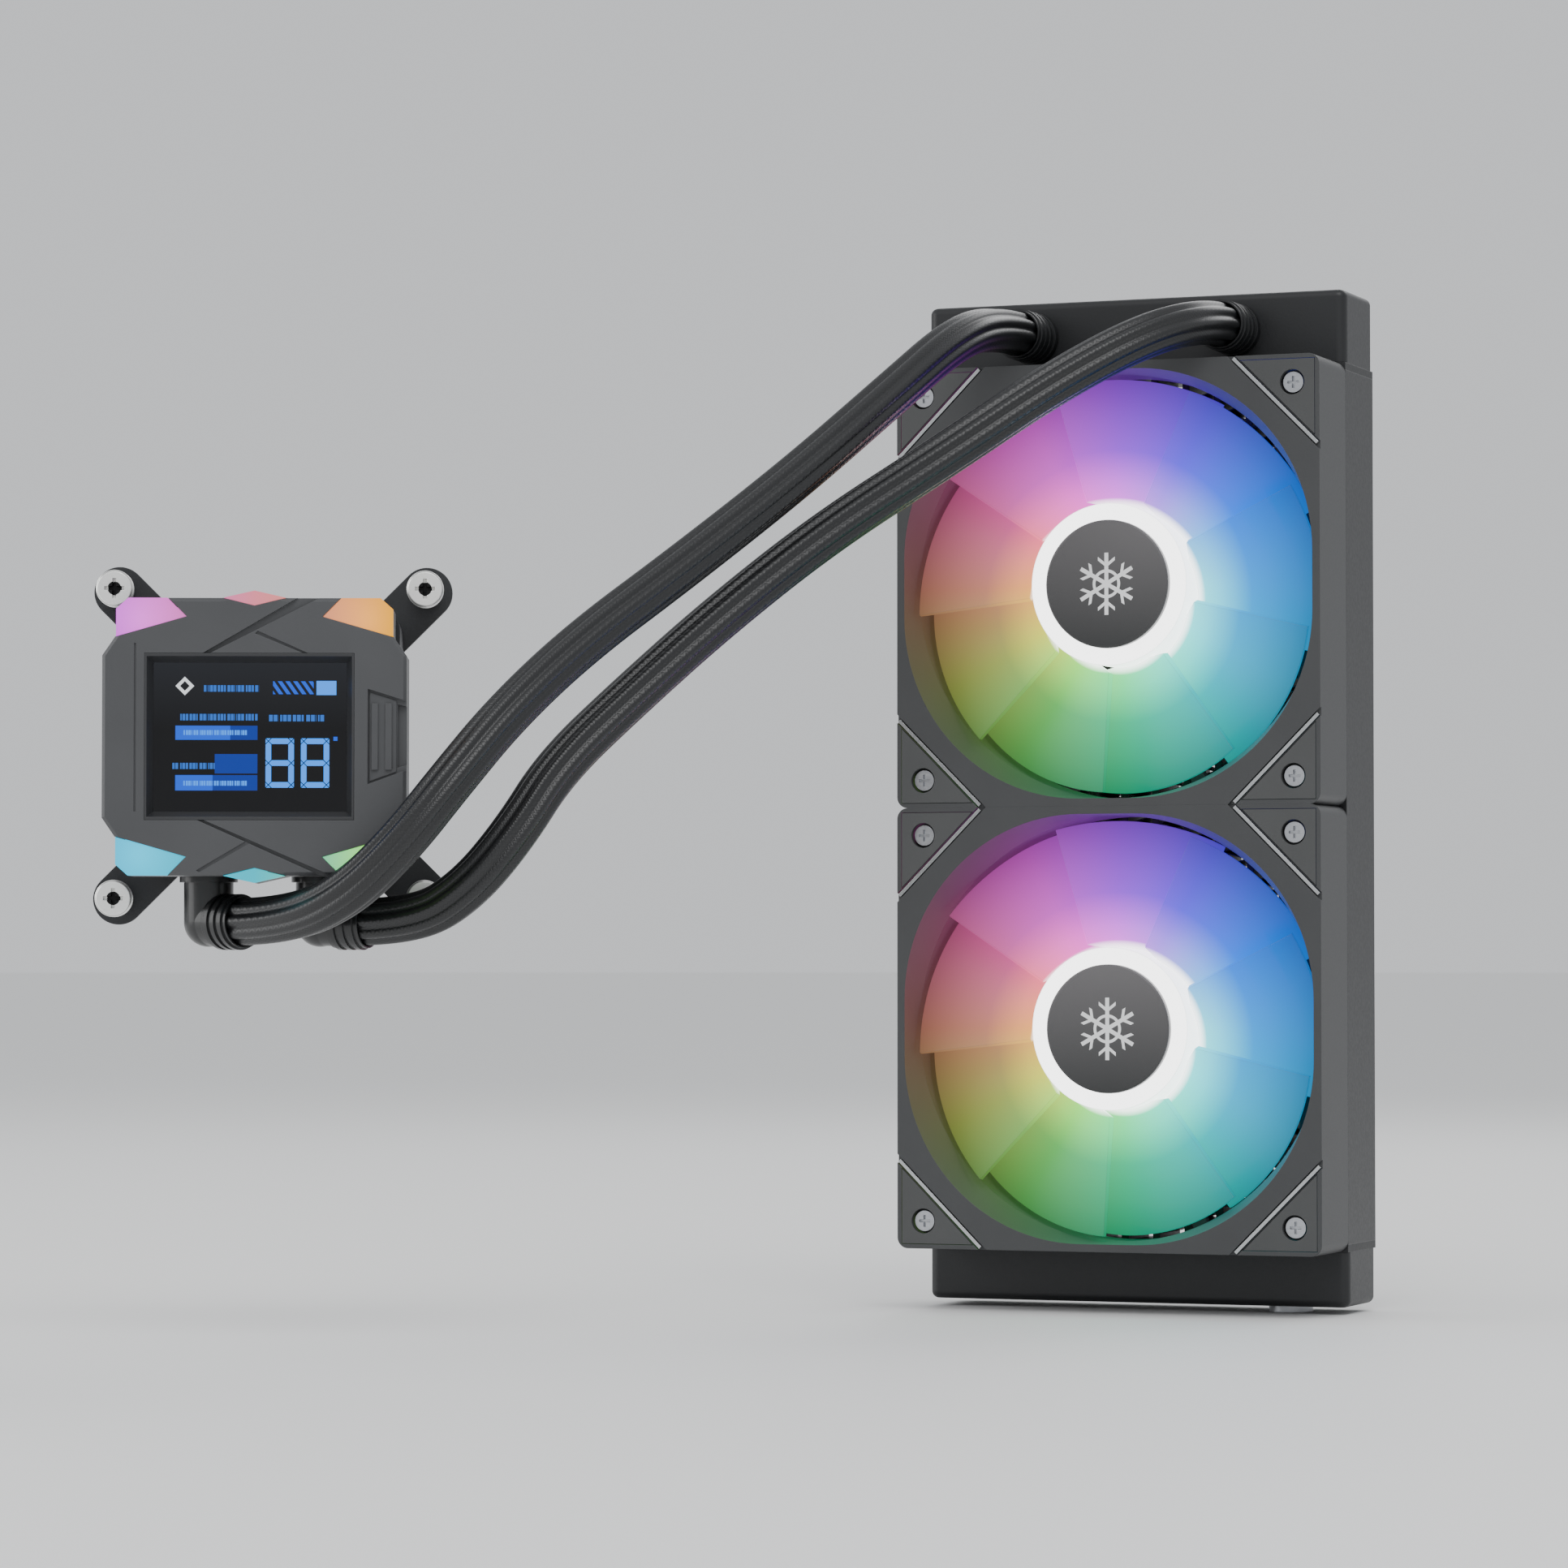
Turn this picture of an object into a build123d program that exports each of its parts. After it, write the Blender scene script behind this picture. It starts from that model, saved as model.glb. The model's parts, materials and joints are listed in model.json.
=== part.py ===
# Closed-loop liquid cooler: a 240 mm class radiator standing on end, two 120 mm fans on its
# front face, and two hoses to a pump and cold-plate head with a display.
#
# Frame: the origin is the middle of the radiator's back face, which is screwed to the case.
# +Z is up along the radiator, the hose tank is on top, and the fans face -Y.
# Each fan and the pump head is drawn on a plane of its own, with z towards its front.
from build123d import *
import math
import os

os.makedirs("parts", exist_ok=True)

# ---------------------------------------------------------------- driving dimensions, mm
# Radiator
rad_width = 120.0
rad_depth = 27.0
core_length = 240.0
tank_top_height = 20.0
tank_bottom_height = 15.0
tank_wall = 2.0
tank_round = 2.5
spigot_reach = 1.0
header_thickness = 2.0
tube_count = 12
tube_pitch = 9.0
tube_thickness = 2.0
tube_wall = 0.4
core_depth = 18.0
fin_fold = 2.0
fin_sheet = 0.3
channel_web = 2.5
channel_flange = 13.5
channel_sheet = 1.2
nut_radius = 2.7
nut_length = 2.0

# Fans, and the screw pattern that they share with the radiator
fan_size = 120.0
fan_depth = 25.0
fan_corner = 3.0
screw_pitch = 105.0
screw_rows = (112.5, 7.5, -7.5, -112.5)
screw_radius = 1.65
thread_hole = 1.5
fan_thread_hole = 1.7
screw_reach = 3.8
screw_head_radius = 2.8
screw_head_height = 1.9
screw_seat = 22.0
screw_recess = 3.4
screw_clear = 2.2
duct_radius = 57.6
flare_start = 14.0
flare_size = 115.8
flare_corner = 50.0
panel_leg = 20.8
panel_rim = 1.2
panel_height = 1.5
panel_gap = 0.15
trim_centre = 47.75
trim_length = 33.0
trim_width = 0.9
groove_width = 1.7
groove_depth = 1.0
base_radius = 19.5
base_height = 2.5
strut_width = 4.0
strut_height = 3.0
strut_bite = 1.0
strut_angle = 20.0
boss_radius = 4.6
boss_top = 13.0
bearing_radius = 3.6
shaft_radius = 1.5
running_gap = 0.05
hub_radius = 22.0
hub_inner = 20.0
hub_start = 5.0
hub_front = 22.0
hub_wall = 1.7
hub_boss = 3.5
hub_boss_start = 14.0
cap_radius = 17.4
cap_height = 2.0
blade_count = 9
blade_tip_radius = 56.2
blade_root = (21.0, 26.0, 30.0, 1.7)  # distance out, chord, pitch angle, thickness
blade_tip = (58.0, 51.0, 15.0, 1.2)
blade_middle = 11.6
blade_sweep = 5.0
magnet_inner = 17.8
magnet_start = 7.0
magnet_height = 10.0
pole_count = 4
board_radius = 17.0
board_start = 2.7
board_thickness = 1.4
led_size = 1.6
led_count = 8
led_ring = 14.5

# Pump head. Its plane lies on the heads of the mounting screws; z points out of the display.
pump_turn = 24.0
pump_origin = (-164.2, -222.5, 13.0)
mount_pitch = 78.0
plate_size = 56.0
plate_round = 3.0
plate_bottom = -22.0
plate_thickness = 3.0
micro_field = 26.0
micro_pitch = 1.3
micro_wall = 0.6
micro_height = 3.0
seal_section = 1.6
foot_size = 57.0
foot_height = 2.5
body_size = 66.0
body_top = 8.0
body_round = 5.0
chamber_radius = 20.0
chamber_floor = -8.0
lower_pocket = (30.0, 46.0)
lower_pocket_height = 4.0
eye_radius = 4.0
port_radius = 4.5
spigot_radius = 4.4
port_level = 0.5
can_radius = 10.6
can_wall = 0.8
can_top = 17.5
can_flange = 24.0
can_flange_height = 1.5
impeller_radius = 16.5
impeller_disc = 1.2
impeller_floor = -7.0
vane_count = 6
vane_height = 5.0
vane_thickness = 1.4
rotor_radius = 9.2
rotor_top = 15.5
pin_radius = 1.0
coil_radius = 20.0
coil_height = 6.0
cover_bottom = 9.0
cover_front = 29.0
cover_wall = 2.0
cover_face = 4.0
cover_chamfer = 0.8
window_rise = 3.7
cover_shift = (-2.0, 0.5)
display_centre = -1.2
opening = (51.6, 41.2)
window_gap = 0.12
bezel_inner = (47.6, 36.8)
bezel_back = 25.5
bezel_slope = 22.0
glass_size = (50.4, 39.8)
glass_thickness = 1.2
board_size = 60.0
board_level = 19.0
bracket_bottom = -18.5
bracket_thickness = 2.0
bracket_ring = 63.0
bracket_opening = 57.6
bracket_corner = 4.0
arm_width = 13.0
arm_hole = 2.6
mount_head_radius = 4.65
mount_head_height = 4.5
mount_shank = 2.2
mount_tip = -28.0
mount_travel = 3.0
mount_chamfer = 0.5
stop_gap = 0.2
clip_ring = 3.4
clip_ring_height = 0.8
spring_radius = 3.4
spring_wire = 0.35
spring_turns = 6.0

# Elbows under the pump: across, along and out from the pump's middle, and their swing
elbow_level = -45.0
elbow_left = (-15.0, 45.0)
elbow_right = (13.0, 25.0)
elbow_radius = 6.2
elbow_flange = 7.3
elbow_flange_height = 2.0
elbow_bore = 3.8
elbow_leg = 9.0
collar_radius = 7.0
collar_inner = 6.1
collar_length = 9.0
collar_rib = 0.45

# Radiator fittings
fitting_offset = 29.0
fitting_level = 130.0
fitting_neck = 10.0
fitting_flange = 7.2
fitting_flange_height = 2.5
fitting_collar = 12.0

# Hoses
hose_radius = 6.0
hose_bore = 4.0
arc_share = 0.45
left_lead = 29.0
right_lead = 27.0

# ---------------------------------------------------------------- planes and positions
core_middle = -rad_depth / 2
fan_levels = {"upper": fan_size / 2, "lower": -fan_size / 2}
turn = math.radians(pump_turn)
pump_across = Vector(math.cos(turn), math.sin(turn), 0)
pump_out = Vector(math.sin(turn), -math.cos(turn), 0)
pump = Plane(origin=pump_origin, x_dir=pump_across, z_dir=pump_out)
radiator_front = Plane.XZ.offset(rad_depth)


def save(part, label):
    """Names a finished piece and writes it to its own file."""
    part.label = label
    export_step(part, f"parts/{label}.step")


def fan_plane(level):
    """The plane of a fan's back face, x to the right and z towards the fan's front."""
    return Plane(origin=(0, -rad_depth, level), x_dir=(1, 0, 0), z_dir=(0, -1, 0))


# ---------------------------------------------------------------- radiator core
tube_length = core_length + 2 * header_thickness
fin_columns = tube_count + 1
fin_width = tube_pitch - tube_thickness
core_back = (rad_depth - core_depth) / 2

with BuildPart() as core_tubes:
    with BuildSketch(Plane.XY.offset(-tube_length / 2)):
        with Locations((0, core_middle)):
            with GridLocations(tube_pitch, 0, tube_count, 1):
                Rectangle(tube_thickness, core_depth)
                Rectangle(
                    tube_thickness - 2 * tube_wall, core_depth - 2 * tube_wall, mode=Mode.SUBTRACT
                )
    extrude(amount=tube_length)
save(core_tubes.part, "core_tubes")

# Each fin strip is one folded sheet that zigzags from tube to tube. Going up its right side,
# the outline touches the tube at each right-hand fold and stops short of it at each left one.
fin_span = core_length - 2 * header_thickness - 2 * fin_fold
fold_pairs = int(fin_span / fin_fold / 2)
fin_edge = fin_width / 2
fin_inside = fin_edge - fin_sheet / 2 * fin_width / fin_fold
fin_half = fin_sheet / 2
fin_outline = [(-fin_edge, -fold_pairs * fin_fold - fin_half)]
for i in range(fold_pairs):
    right_fold = (2 * i + 1 - fold_pairs) * fin_fold
    fin_outline += [(fin_edge, right_fold - fin_half), (fin_edge, right_fold + fin_half)]
    if i < fold_pairs - 1:
        fin_outline.append((-fin_inside, right_fold + fin_fold))
for i in reversed(range(fold_pairs)):
    left_fold = (2 * i - fold_pairs) * fin_fold
    if i < fold_pairs - 1:
        fin_outline.append((fin_inside, left_fold + fin_fold))
    fin_outline.append((-fin_edge, left_fold + fin_half))
    if i > 0:
        fin_outline.append((-fin_edge, left_fold - fin_half))

with BuildPart() as core_fins:
    with BuildSketch(Plane.XZ.offset(core_back)):
        with GridLocations(tube_pitch, 0, fin_columns, 1):
            Polygon(*fin_outline, align=None)
    extrude(amount=core_depth)
save(core_fins.part, "core_fins")

with BuildPart() as header_plates:
    with BuildSketch(
        Plane.XY.offset(core_length / 2 - header_thickness), Plane.XY.offset(-core_length / 2)
    ):
        with Locations((0, core_middle)):
            Rectangle(rad_width, rad_depth)
            with GridLocations(tube_pitch, 0, tube_count, 1):
                Rectangle(tube_thickness, core_depth, mode=Mode.SUBTRACT)
    extrude(amount=header_thickness)
save(header_plates.part, "header_plates")

# A folded channel on each long side holds the core and carries the threaded holes.
channel_length = core_length - 2 * header_thickness
with BuildPart() as side_channels:
    with BuildSketch(Plane.XY.offset(-channel_length / 2)):
        for side in (-1, 1):
            with Locations((side * (rad_width - channel_web) / 2, core_middle)):
                Rectangle(channel_web, rad_depth)
            flange_x = side * (rad_width - channel_flange) / 2
            with Locations(
                (flange_x, -channel_sheet / 2), (flange_x, -rad_depth + channel_sheet / 2)
            ):
                Rectangle(channel_flange, channel_sheet)
    extrude(amount=channel_length)
    screw_points = [(side * screw_pitch / 2, z) for side in (-1, 1) for z in screw_rows]
    with BuildSketch(Plane.XZ.offset(channel_sheet)):
        with Locations(*screw_points):
            Circle(nut_radius)
    extrude(amount=nut_length)
    with BuildSketch(Plane.XZ.offset(rad_depth - channel_sheet - nut_length)):
        with Locations(*screw_points):
            Circle(nut_radius)
    extrude(amount=nut_length)
    with BuildSketch(Plane.XZ):
        with Locations(*screw_points):
            Circle(thread_hole)
    extrude(amount=rad_depth / 2, mode=Mode.SUBTRACT)
    with BuildSketch(Plane.XZ.offset(rad_depth / 2)):
        with Locations(*screw_points):
            Circle(fan_thread_hole)
    extrude(amount=rad_depth / 2, mode=Mode.SUBTRACT)
save(side_channels.part, "side_channels")

# ---------------------------------------------------------------- radiator tanks
fitting_points = [(-fitting_offset, fitting_level), (fitting_offset, fitting_level)]

with BuildPart() as tank_top:
    with BuildSketch(Plane.XY.offset(core_length / 2)):
        with Locations((0, core_middle)):
            Rectangle(rad_width, rad_depth)
    extrude(amount=tank_top_height)
    fillet(tank_top.edges().filter_by(Axis.Z), tank_round)
    fillet(tank_top.faces().sort_by(Axis.Z)[-1].edges(), tank_wall)
    with BuildSketch(Plane.XY.offset(core_length / 2)):
        with Locations((0, core_middle)):
            Rectangle(rad_width - 2 * tank_wall, rad_depth - 2 * tank_wall)
    extrude(amount=tank_top_height - tank_wall, mode=Mode.SUBTRACT)
    with BuildSketch(radiator_front):
        with Locations(*fitting_points):
            Circle(spigot_radius)
    extrude(amount=-tank_wall, mode=Mode.SUBTRACT)
save(tank_top.part, "tank_top")

# The baffle parts the tank into an inlet half and an outlet half.
with BuildPart() as tank_baffle:
    with BuildSketch(Plane.XY.offset(core_length / 2)):
        with Locations((0, core_middle)):
            Rectangle(tank_wall, rad_depth - 2 * tank_wall)
    extrude(amount=tank_top_height - tank_wall)
save(tank_baffle.part, "tank_baffle")

plug_x = 40.0
plug_radius = 4.0
plug_head_radius = 6.0
plug_head_height = 2.0
plug_slot = (8.0, 1.2)

with BuildPart() as tank_bottom:
    with BuildSketch(Plane.XY.offset(-core_length / 2 - tank_bottom_height)):
        with Locations((0, core_middle)):
            Rectangle(rad_width, rad_depth)
    extrude(amount=tank_bottom_height)
    fillet(tank_bottom.edges().filter_by(Axis.Z), tank_round)
    fillet(tank_bottom.faces().sort_by(Axis.Z)[0].edges(), tank_wall)
    with BuildSketch(Plane.XY.offset(-core_length / 2)):
        with Locations((0, core_middle)):
            Rectangle(rad_width - 2 * tank_wall, rad_depth - 2 * tank_wall)
    extrude(amount=-(tank_bottom_height - tank_wall), mode=Mode.SUBTRACT)
    with BuildSketch(Plane.XY.offset(-core_length / 2 - tank_bottom_height)):
        with Locations((plug_x, core_middle)):
            Circle(plug_radius)
    extrude(amount=tank_wall, mode=Mode.SUBTRACT)
save(tank_bottom.part, "tank_bottom")

# The filling hole's plug, screwed in from below with a coin slot in its head.
plug_level = -core_length / 2 - tank_bottom_height
with BuildPart() as fill_plug:
    with BuildSketch(Plane.XY.offset(plug_level)):
        with Locations((plug_x, core_middle)):
            Circle(plug_head_radius)
    extrude(amount=-plug_head_height)
    with BuildSketch(Plane.XY.offset(plug_level)):
        with Locations((plug_x, core_middle)):
            Circle(plug_radius - running_gap)
    extrude(amount=tank_wall + spigot_reach)
    with BuildSketch(Plane.XY.offset(plug_level - plug_head_height)):
        with Locations((plug_x, core_middle)):
            Rectangle(*plug_slot)
    extrude(amount=plug_slot[1], mode=Mode.SUBTRACT)
save(fill_plug.part, "fill_plug")


def ribbed_collar(plane, start, length):
    """A crimped sleeve round a hose end, with three raised ribs."""
    rib = length / 7
    with BuildPart() as collar:
        with BuildSketch(plane.offset(start)):
            Circle(collar_radius - collar_rib)
            Circle(collar_inner, mode=Mode.SUBTRACT)
        extrude(amount=length)
        for step in (1, 3, 5):
            with BuildSketch(plane.offset(start + step * rib)):
                Circle(collar_radius)
                Circle(collar_inner, mode=Mode.SUBTRACT)
            extrude(amount=rib)
    return collar.part


def radiator_fitting(x, label):
    """A flanged spigot in the tank's front wall, with the collar that grips the hose."""
    face = Plane(origin=(x, -rad_depth, fitting_level), x_dir=(1, 0, 0), z_dir=(0, -1, 0))
    collar = ribbed_collar(face, fitting_flange_height, fitting_collar)
    with BuildPart() as fitting:
        with BuildSketch(face.offset(-tank_wall - spigot_reach)):
            Circle(spigot_radius)
        extrude(amount=tank_wall + spigot_reach)
        with BuildSketch(face):
            Circle(fitting_flange)
        extrude(amount=fitting_flange_height)
        with BuildSketch(face.offset(fitting_flange_height)):
            Circle(hose_radius)
        extrude(amount=fitting_neck - fitting_flange_height)
        with BuildSketch(face.offset(-tank_wall - spigot_reach)):
            Circle(hose_bore - tube_wall)
        extrude(amount=fitting_neck + tank_wall + spigot_reach, mode=Mode.SUBTRACT)
        add(collar)
    save(fitting.part, label)


radiator_fitting(-fitting_offset, "radiator_fitting_left")
radiator_fitting(fitting_offset, "radiator_fitting_right")

# ---------------------------------------------------------------- fans
panel_edge = fan_size / 2 - panel_rim
panel_outline = [
    (panel_edge, panel_edge),
    (panel_edge - panel_leg, panel_edge),
    (panel_edge, panel_edge - panel_leg),
]
quarter_turns = [Location((0, 0, 0), (0, 0, 90 * i)) for i in range(4)]
fan_screw_pattern = (screw_pitch, screw_pitch, 2, 2)


def fan_frame(plane, label):
    """The moulded square frame: flared duct, motor base on four struts, corner recesses."""
    pocket_wall = 2.0
    post_radius = 5.2
    with BuildPart() as frame:
        with BuildSketch(plane):
            RectangleRounded(fan_size, fan_size, fan_corner)
        extrude(amount=fan_depth)
        with BuildSketch(plane):
            Circle(duct_radius)
        extrude(amount=fan_depth, mode=Mode.SUBTRACT)
        with BuildSketch(plane.offset(flare_start)):
            RectangleRounded(2 * duct_radius, 2 * duct_radius, duct_radius - running_gap)
        with BuildSketch(plane.offset(fan_depth)):
            RectangleRounded(flare_size, flare_size, flare_corner)
        loft(mode=Mode.SUBTRACT)
        with BuildSketch(plane):
            Rectangle(fan_size - 2 * pocket_wall, fan_size - 2 * pocket_wall)
            Circle(duct_radius + pocket_wall, mode=Mode.SUBTRACT)
            with GridLocations(*fan_screw_pattern):
                Circle(post_radius, mode=Mode.SUBTRACT)
        extrude(amount=flare_start, mode=Mode.SUBTRACT)
        with BuildSketch(plane.offset(fan_depth - panel_height)):
            with Locations(*quarter_turns):
                Polygon(*panel_outline, align=None)
        extrude(amount=panel_height, mode=Mode.SUBTRACT)
        with BuildSketch(plane.offset(fan_depth - groove_depth)):
            with PolarLocations(trim_centre * math.sqrt(2), 4, start_angle=45):
                Rectangle(groove_width, trim_length + 2 * groove_width)
        extrude(amount=groove_depth, mode=Mode.SUBTRACT)
        with BuildSketch(plane.offset(screw_seat)):
            with GridLocations(*fan_screw_pattern):
                Circle(screw_recess)
        extrude(amount=fan_depth - screw_seat, mode=Mode.SUBTRACT)
        with BuildSketch(plane):
            with GridLocations(*fan_screw_pattern):
                Circle(screw_clear)
        extrude(amount=screw_seat, mode=Mode.SUBTRACT)
        with BuildSketch(plane):
            Circle(base_radius)
        extrude(amount=base_height)
        strut_length = duct_radius - base_radius + 2 * strut_bite
        strut_middle = base_radius - strut_bite + strut_length / 2
        with BuildSketch(plane):
            with PolarLocations(strut_middle, 4, start_angle=strut_angle):
                Rectangle(strut_length, strut_width)
        extrude(amount=strut_height)
        with BuildSketch(plane.offset(base_height)):
            Circle(boss_radius)
            Circle(bearing_radius, mode=Mode.SUBTRACT)
        extrude(amount=boss_top - base_height)
    save(frame.part, label)


def corner_panels(plane, label):
    """Four triangular covers let into the corners of a fan's front face."""
    with BuildPart() as panels:
        with BuildSketch(plane.offset(fan_depth - panel_height)):
            with Locations(*quarter_turns):
                Polygon(*panel_outline, align=None)
            offset(amount=-panel_gap, kind=Kind.INTERSECTION)
            with GridLocations(*fan_screw_pattern):
                Circle(screw_recess, mode=Mode.SUBTRACT)
        extrude(amount=panel_height)
    save(panels.part, label)


def corner_trim(plane, label):
    """Four bright strips in the diagonal grooves beside the corner covers."""
    with BuildPart() as trim:
        with BuildSketch(plane.offset(fan_depth - groove_depth)):
            with PolarLocations(trim_centre * math.sqrt(2), 4, start_angle=45):
                Rectangle(trim_width, trim_length)
        extrude(amount=groove_depth)
    save(trim.part, label)


def blade_plane(distance, pitch, shift):
    """The plane of a blade's section at a distance out from the fan's axis."""
    pitch_angle = math.radians(pitch)
    return Plane(
        origin=(distance, shift, blade_middle),
        x_dir=(0, math.cos(pitch_angle), math.sin(pitch_angle)),
        z_dir=(1, 0, 0),
    )


# One blade about the Z axis: a flat section that widens and untwists from root to tip.
root_distance, root_chord, root_pitch, root_thickness = blade_root
tip_distance, tip_chord, tip_pitch, tip_thickness = blade_tip
with BuildPart() as blade:
    with BuildSketch(blade_plane(root_distance, root_pitch, 0)):
        Rectangle(root_chord, root_thickness)
    with BuildSketch(blade_plane(tip_distance, tip_pitch, blade_sweep)):
        Rectangle(tip_chord, tip_thickness)
    loft(ruled=True)


def fan_rotor(plane, label):
    """The opal rotor: a cup-shaped hub and its blades, trimmed to the tip circle."""
    blade_turns = [Location((0, 0, 0), (0, 0, 360 / blade_count * i)) for i in range(blade_count)]
    placed_blades = [plane.location * spot * blade.part for spot in blade_turns]
    with BuildPart() as rotor:
        with BuildSketch(plane.offset(hub_start)):
            Circle(hub_radius)
        extrude(amount=hub_front - hub_start)
        for placed in placed_blades:
            add(placed)
        with BuildSketch(plane):
            Circle(blade_tip_radius)
        extrude(amount=fan_depth, mode=Mode.INTERSECT)
        with BuildSketch(plane):
            Circle(hub_inner)
        extrude(amount=hub_front - hub_wall, mode=Mode.SUBTRACT)
        with BuildSketch(plane.offset(hub_boss_start)):
            Circle(hub_boss)
            Circle(shaft_radius, mode=Mode.SUBTRACT)
        extrude(amount=hub_front - hub_wall - hub_boss_start)
    save(rotor.part, label)


def hub_cap(plane, label):
    """The dark disc on the front of the hub."""
    with BuildPart() as cap:
        with BuildSketch(plane.offset(hub_front)):
            Circle(cap_radius)
        extrude(amount=cap_height)
        fillet(cap.edges().filter_by(GeomType.CIRCLE).sort_by(Axis.Y)[0], cap_height / 3)
    save(cap.part, label)


def rotor_magnet(plane, label):
    """The ring magnet inside the hub."""
    with BuildPart() as magnet:
        with BuildSketch(plane.offset(magnet_start)):
            Circle(hub_inner)
            Circle(magnet_inner, mode=Mode.SUBTRACT)
        extrude(amount=magnet_height)
    save(magnet.part, label)


def rotor_shaft(plane, label):
    """The steel shaft, held in the hub's boss and turning in the sleeve bearing."""
    shaft_start = base_height + 1
    with BuildPart() as shaft:
        with BuildSketch(plane.offset(shaft_start)):
            Circle(shaft_radius)
        extrude(amount=hub_front - hub_wall - shaft_start)
    save(shaft.part, label)


def sleeve_bearing(plane, label):
    """The bronze sleeve in the frame's boss, with a running gap round the shaft."""
    with BuildPart() as sleeve:
        with BuildSketch(plane.offset(base_height)):
            Circle(bearing_radius)
            Circle(shaft_radius + running_gap, mode=Mode.SUBTRACT)
        extrude(amount=boss_top - base_height)
    save(sleeve.part, label)


def fan_stator(plane, label):
    """The wound core: four poles with coils, round the boss."""
    pole_start = 6.0
    pole_height = 6.0
    pole_width = 5.0
    shoe_depth = 2.0
    coil_width = 9.0
    coil_length = 6.0
    coil_rise = 2.0
    coil_centre = 10.5
    coil_round = 1.0
    with BuildPart() as stator:
        with BuildSketch(plane.offset(pole_start)):
            Circle(board_radius)
            Circle(board_radius - shoe_depth, mode=Mode.SUBTRACT)
            with PolarLocations(0, pole_count, start_angle=45):
                Rectangle(2 * board_radius, shoe_depth, mode=Mode.SUBTRACT)
            Circle(boss_radius + shoe_depth)
            with PolarLocations(board_radius / 2, pole_count):
                Rectangle(board_radius - shoe_depth, pole_width)
            Circle(boss_radius, mode=Mode.SUBTRACT)
        extrude(amount=pole_height)
        with BuildSketch(plane.offset(pole_start - coil_rise / 2)):
            with PolarLocations(coil_centre, pole_count):
                RectangleRounded(coil_length, coil_width, coil_round)
        extrude(amount=pole_height + coil_rise)
    save(stator.part, label)


def fan_board(plane, label):
    """The ring-shaped circuit board with its lights."""
    with BuildPart() as board:
        with BuildSketch(plane.offset(board_start)):
            Circle(board_radius)
            Circle(boss_radius + panel_gap, mode=Mode.SUBTRACT)
        extrude(amount=board_thickness)
        with BuildSketch(plane.offset(board_start + board_thickness)):
            with PolarLocations(led_ring, led_count):
                Rectangle(led_size, led_size)
        extrude(amount=led_size / 2)
    save(board.part, label)


def fan_screws(plane, label):
    """The four long cross-head screws that hold a fan to the radiator."""
    cross = (3.2, 0.7)
    with BuildPart() as screws:
        with BuildSketch(plane.offset(screw_seat)):
            with GridLocations(*fan_screw_pattern):
                Circle(screw_head_radius)
        extrude(amount=screw_head_height)
        with BuildSketch(plane.offset(-screw_reach)):
            with GridLocations(*fan_screw_pattern):
                Circle(screw_radius)
        extrude(amount=screw_reach + screw_seat)
        with BuildSketch(plane.offset(screw_seat + screw_head_height / 2)):
            with GridLocations(*fan_screw_pattern):
                Rectangle(*cross)
                Rectangle(cross[1], cross[0])
        extrude(amount=screw_head_height, mode=Mode.SUBTRACT)
    save(screws.part, label)


for name, level in fan_levels.items():
    back_face = fan_plane(level)
    fan_frame(back_face, f"fan_{name}_frame")
    corner_panels(back_face, f"fan_{name}_corner_panels")
    corner_trim(back_face, f"fan_{name}_corner_trim")
    fan_rotor(back_face, f"fan_{name}_rotor")
    hub_cap(back_face, f"fan_{name}_hub_cap")
    rotor_magnet(back_face, f"fan_{name}_magnet")
    rotor_shaft(back_face, f"fan_{name}_shaft")
    sleeve_bearing(back_face, f"fan_{name}_bearing")
    fan_stator(back_face, f"fan_{name}_stator")
    fan_board(back_face, f"fan_{name}_board")
    fan_screws(back_face, f"fan_{name}_screws")

# ---------------------------------------------------------------- pump: cold plate
plate_top = plate_bottom + plate_thickness
plate_screw_pitch = 48.0
plate_screw_radius = 1.2
plate_screw_head = 2.2
plate_screw_head_height = 1.2
micro_count = int(micro_field / micro_pitch)
plate_screw_pattern = (plate_screw_pitch, plate_screw_pitch, 2, 2)

with BuildPart() as cold_plate:
    with BuildSketch(pump.offset(plate_bottom)):
        RectangleRounded(plate_size, plate_size, plate_round)
    extrude(amount=plate_thickness)
    with BuildSketch(pump.offset(plate_top)):
        with GridLocations(micro_pitch, 0, micro_count, 1):
            Rectangle(micro_wall, micro_field)
    extrude(amount=micro_height)
    with BuildSketch(pump.offset(plate_bottom)):
        with GridLocations(*plate_screw_pattern):
            Circle(plate_screw_head + panel_gap)
    extrude(amount=plate_screw_head_height, mode=Mode.SUBTRACT)
    with BuildSketch(pump.offset(plate_bottom)):
        with GridLocations(*plate_screw_pattern):
            Circle(plate_screw_radius + panel_gap)
    extrude(amount=plate_thickness, mode=Mode.SUBTRACT)
save(cold_plate.part, "cold_plate")

with BuildPart() as cold_plate_screws:
    with BuildSketch(pump.offset(plate_bottom)):
        with GridLocations(*plate_screw_pattern):
            Circle(plate_screw_head)
    extrude(amount=plate_screw_head_height)
    with BuildSketch(pump.offset(plate_bottom)):
        with GridLocations(*plate_screw_pattern):
            Circle(plate_screw_radius)
    extrude(amount=plate_thickness + foot_height)
    with BuildSketch(pump.offset(plate_bottom)):
        with GridLocations(*plate_screw_pattern):
            RegularPolygon(plate_screw_radius, 6)
    extrude(amount=plate_screw_head_height / 2, mode=Mode.SUBTRACT)
save(cold_plate_screws.part, "cold_plate_screws")

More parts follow.
